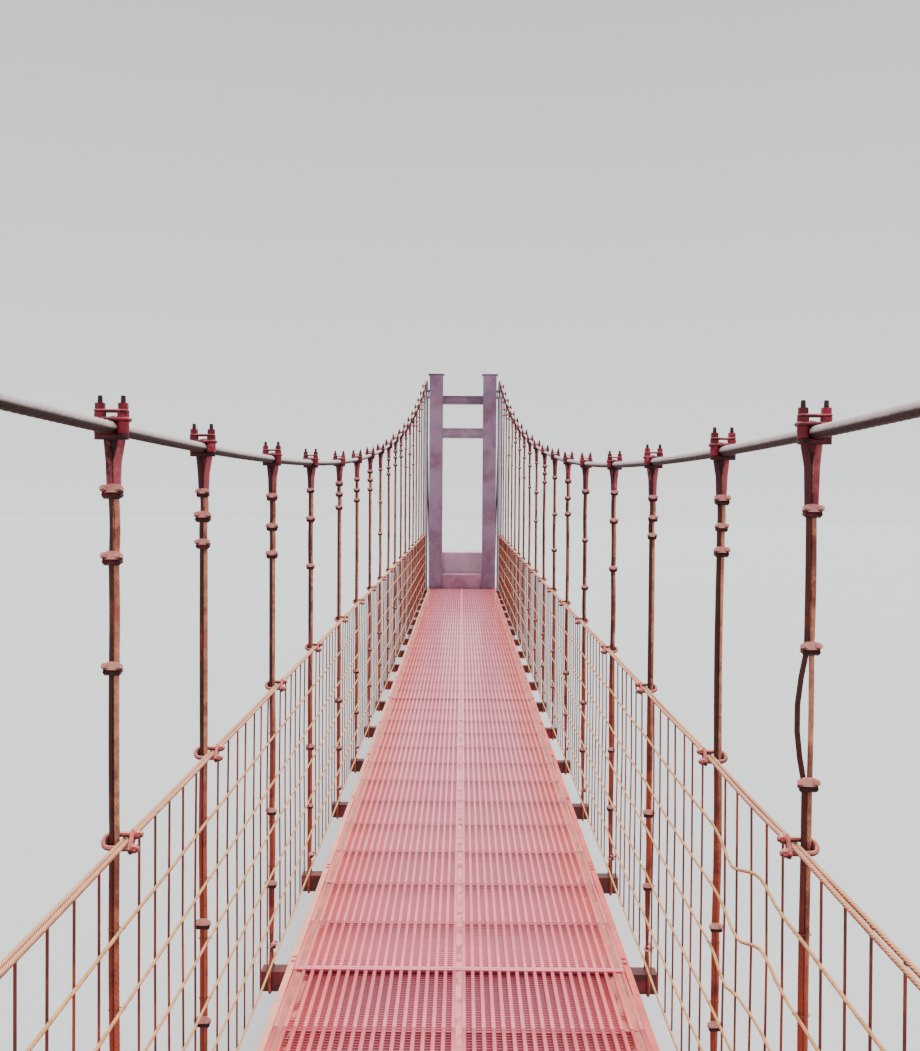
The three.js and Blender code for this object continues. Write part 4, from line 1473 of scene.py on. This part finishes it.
class FOOTBRIDGE_OT_pipe_posts(Operator):
    """Galvanised posts under the brackets, with four collars, one of them at the foot"""
    bl_idname = "footbridge.pipe_posts"
    bl_label = "Pipe posts"

    def execute(self, context):
        for end_name, _ in ENDS:
            for side_name, _ in SIDES:
                name = f"{end_name}_{side_name}"
                node = f"{name}_pipe_post"
                low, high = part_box(node)
                x, y = middle(node, 0), middle(node, 1)
                bm = bmesh.new()
                add_rod(bm, (x, y, low[2]), (x, y, high[2]), POST_RADIUS - COLLAR_WALL, POST_SIDES)
                for z in (low[2], high[2] - COLLAR_HEIGHT, RAIL_Z - COLLAR_HEIGHT, LOW_COLLAR):
                    add_rod(bm, (x, y, z), (x, y, z + COLLAR_HEIGHT), POST_RADIUS, POST_SIDES)
                add_object(f"{name}_post_dressed", bm, ["zinc"], nodes=[node])
        return {"FINISHED"}


# Concrete

CAST_BEVEL = 0.014
CAST_DENT, STEP_DENT = 0.003, 0.002
ABUTMENT_CELL, BLOCK_CELL, STEP_CELL = 0.16, 0.14, 0.12
STEP_HALF = COLUMN_INNER - GAP
STEP_TOP = DECK_TOP + 0.25
LANDING_YS = (HALF_SPAN - 0.12, HALF_SPAN + 0.23, HALF_SPAN + 1.35)
ANCHOR_FACE_HALF = 0.18
ANCHOR_TOE, ANCHOR_HEEL = 0.24, 0.31


def roughened_block(bm, low, high, cell, dent, seed, material=0):
    part = box_between(low, high)
    roughen(part, cell, dent, seed)
    merge_into(bm, part, material)


def roughen(part, cell, dent, seed):
    """Makes a cast block: chamfered, divided and pushed in a little at random, never out."""
    soften(part, CAST_BEVEL, segments=2)
    for axis in range(3):
        values = [vert.co[axis] for vert in part.verts]
        start, stop = min(values), max(values)
        for step in range(1, round((stop - start) / cell)):
            place, normal = [0.0, 0.0, 0.0], [0.0, 0.0, 0.0]
            place[axis] = start + step * cell
            normal[axis] = 1.0
            bmesh.ops.bisect_plane(part, geom=part.verts[:] + part.edges[:] + part.faces[:], dist=1e-6,
                                   plane_co=place, plane_no=normal)
    part.normal_update()
    rng = random.Random(seed)
    floor = min(vert.co.z for vert in part.verts)
    for vert in sorted(part.verts, key=lambda vert: [round(value, 4) for value in vert.co]):
        if vert.co.z > floor + 0.001:
            vert.co -= vert.normal * rng.uniform(0.0, dent)


class FOOTBRIDGE_OT_concrete(Operator):
    """Abutments, landing steps and anchor blocks"""
    bl_idname = "footbridge.concrete"
    bl_label = "Concrete"

    def execute(self, context):
        for end_name, end in ENDS:
            self.abutment(end_name)
            self.landing(end_name, end)
            for side_name, _ in SIDES:
                self.anchor(f"{end_name}_{side_name}", end)
        return {"FINISHED"}

    def abutment(self, name):
        node = f"{name}_abutment"
        bm = bmesh.new()
        roughened_block(bm, *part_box(node), ABUTMENT_CELL, CAST_DENT, node)
        add_object(f"{name}_abutment_cast", bm, ["concrete"], CAST_ANGLE, [node])

    def landing(self, name, end):
        node = f"{name}_landing_steps"
        low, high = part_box(node)
        front, riser, back = LANDING_YS
        step = mirrored(1, end, (-STEP_HALF, STEP_HALF), (front, riser), (low[2], STEP_TOP))
        top = mirrored(1, end, (low[0], high[0]), (riser, back), (low[2], high[2]))
        bm = bmesh.new()
        roughened_block(bm, *step, STEP_CELL, STEP_DENT, node, material=1)
        roughened_block(bm, *top, BLOCK_CELL, CAST_DENT, node + " top")
        add_object(f"{name}_steps_cast", bm, ["concrete", "step"], CAST_ANGLE, [node])

    def anchor(self, name, end):
        node = f"{name}_anchor_block"
        low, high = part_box(node)
        stay_y = cable_points(0)[-1][1]
        ahead, rise = math.sin(STAY_ANGLE) * ANCHOR_FACE_HALF, math.cos(STAY_ANGLE) * ANCHOR_FACE_HALF
        front, back = stay_y - ahead, stay_y + ahead
        toe, heel = front - ANCHOR_TOE, back + ANCHOR_HEEL
        lower, upper = STAY_END_HEIGHT - rise, STAY_END_HEIGHT + rise
        outline = [(toe, 0.0), (heel, 0.0), (heel, upper), (back, upper), (front, lower), (toe, lower)]
        bm = bmesh.new()
        add_profile(bm, [(end * y, z) for y, z in outline], "X", low[0], high[0])
        roughen(bm, BLOCK_CELL, CAST_DENT, node)
        add_object(f"{name}_anchor_cast", bm, ["concrete"], CAST_ANGLE, [node])


# Stage

EYE_HEIGHT = 1.65
EYE_BACK = 2.85
FRAME_HEIGHT = 1051
HORIZON_ROW = 496.5
LENS = 36.0
SENSOR = 36.0
VIEW_RANGE = (0.02, 500.0)
CAMERA_ROLL = math.radians(0.4)
CAMERA_YAW = math.radians(0.12)
FLOOR_SIZE = 240.0
SUN_ENERGY = 6.4
SUN_WIDTH = math.radians(60)
SUN_TILT = (math.radians(-24), math.radians(8), 0.0)
HORIZON_COLOUR = (1.34, 1.36, 1.36)
ZENITH_COLOUR = (0.70, 0.73, 0.76)


class FOOTBRIDGE_OT_stage(Operator):
    """Pale floor, soft light and a camera at eye height on the deck"""
    bl_idname = "footbridge.stage"
    bl_label = "Stage"

    def execute(self, context):
        scene = context.scene
        self.floor(scene)
        self.light(scene)
        self.camera(scene)
        return {"FINISHED"}

    def floor(self, scene):
        bm = bmesh.new()
        bmesh.ops.create_grid(bm, x_segments=1, y_segments=1, size=FLOOR_SIZE / 2)
        mesh = mesh_from("studio_floor", bm)
        mesh.materials.append(floor_finish("studio_floor", tuple(scene.footbridge_colours.floor)))
        floor = bpy.data.objects.new("studio_floor", mesh)
        scene.collection.objects.link(floor)

    def light(self, scene):
        """Soft overhead light, and a backdrop as bright as the floor where they meet and darker overhead."""
        world = bpy.data.worlds.new("studio")
        scene.world = world
        world.use_nodes = True
        sky = Shading(world.node_tree)
        height = sky.part(sky.node("ShaderNodeTexCoord", output="Generated"), "Z")
        shade = sky.mix(height.band(0.0, 0.6, "LINEAR"), HORIZON_COLOUR, ZENITH_COLOUR)
        sky.tree.links.new(shade.socket, sky.tree.nodes["Background"].inputs["Color"])
        sun = bpy.data.lights.new("overhead_light", "SUN")
        sun.energy = SUN_ENERGY
        sun.angle = SUN_WIDTH
        lamp = bpy.data.objects.new("overhead_light", sun)
        lamp.rotation_euler = SUN_TILT
        scene.collection.objects.link(lamp)

    def camera(self, scene):
        lens = bpy.data.cameras.new("camera")
        lens.sensor_width = SENSOR
        lens.lens = LENS
        lens.clip_start, lens.clip_end = VIEW_RANGE
        focal = LENS / SENSOR * FRAME_HEIGHT
        pitch = math.atan((FRAME_HEIGHT / 2 - HORIZON_ROW) / focal)
        camera = bpy.data.objects.new("camera", lens)
        camera.location = (0.0, -EYE_BACK, DECK_TOP + EYE_HEIGHT)
        level = Matrix.Rotation(math.pi / 2 - pitch, 4, "X") @ Matrix.Rotation(CAMERA_ROLL, 4, "Z")
        camera.rotation_euler = (Matrix.Rotation(CAMERA_YAW, 4, "Z") @ level).to_euler()
        scene.collection.objects.link(camera)
        scene.camera = camera


# Panel and run

BUILDERS = (
    FOOTBRIDGE_OT_stage,
    FOOTBRIDGE_OT_main_cables,
    FOOTBRIDGE_OT_hangers,
    FOOTBRIDGE_OT_clamps,
    FOOTBRIDGE_OT_handrails,
    FOOTBRIDGE_OT_side_wires,
    FOOTBRIDGE_OT_fence_wires,
    FOOTBRIDGE_OT_gratings,
    FOOTBRIDGE_OT_deck_frame,
    FOOTBRIDGE_OT_towers,
    FOOTBRIDGE_OT_pipe_posts,
    FOOTBRIDGE_OT_concrete,
)


class FOOTBRIDGE_PT_panel(Panel):
    bl_label = "Footbridge"
    bl_idname = "FOOTBRIDGE_PT_panel"
    bl_space_type = "VIEW_3D"
    bl_region_type = "UI"
    bl_category = "Footbridge"

    def draw(self, context):
        column = self.layout.column()
        for group in (context.scene.footbridge_sizes, context.scene.footbridge_colours):
            for name in group.__annotations__:
                column.prop(group, name)
        for builder in BUILDERS:
            column.operator(builder.bl_idname)


CLASSES = (FootbridgeSizes, FootbridgeColours, *BUILDERS, FOOTBRIDGE_PT_panel)


def register():
    for kind in CLASSES:
        bpy.utils.register_class(kind)
    bpy.types.Scene.footbridge_sizes = PointerProperty(type=FootbridgeSizes)
    bpy.types.Scene.footbridge_colours = PointerProperty(type=FootbridgeColours)


def unregister():
    del bpy.types.Scene.footbridge_colours
    del bpy.types.Scene.footbridge_sizes
    for kind in reversed(CLASSES):
        bpy.utils.unregister_class(kind)


def main():
    register()
    scene = bpy.context.scene
    make_materials(scene.footbridge_sizes, scene.footbridge_colours)
    for builder in BUILDERS:
        family, name = builder.bl_idname.split(".")
        getattr(getattr(bpy.ops, family), name)()


if __name__ == "__main__":
    main()
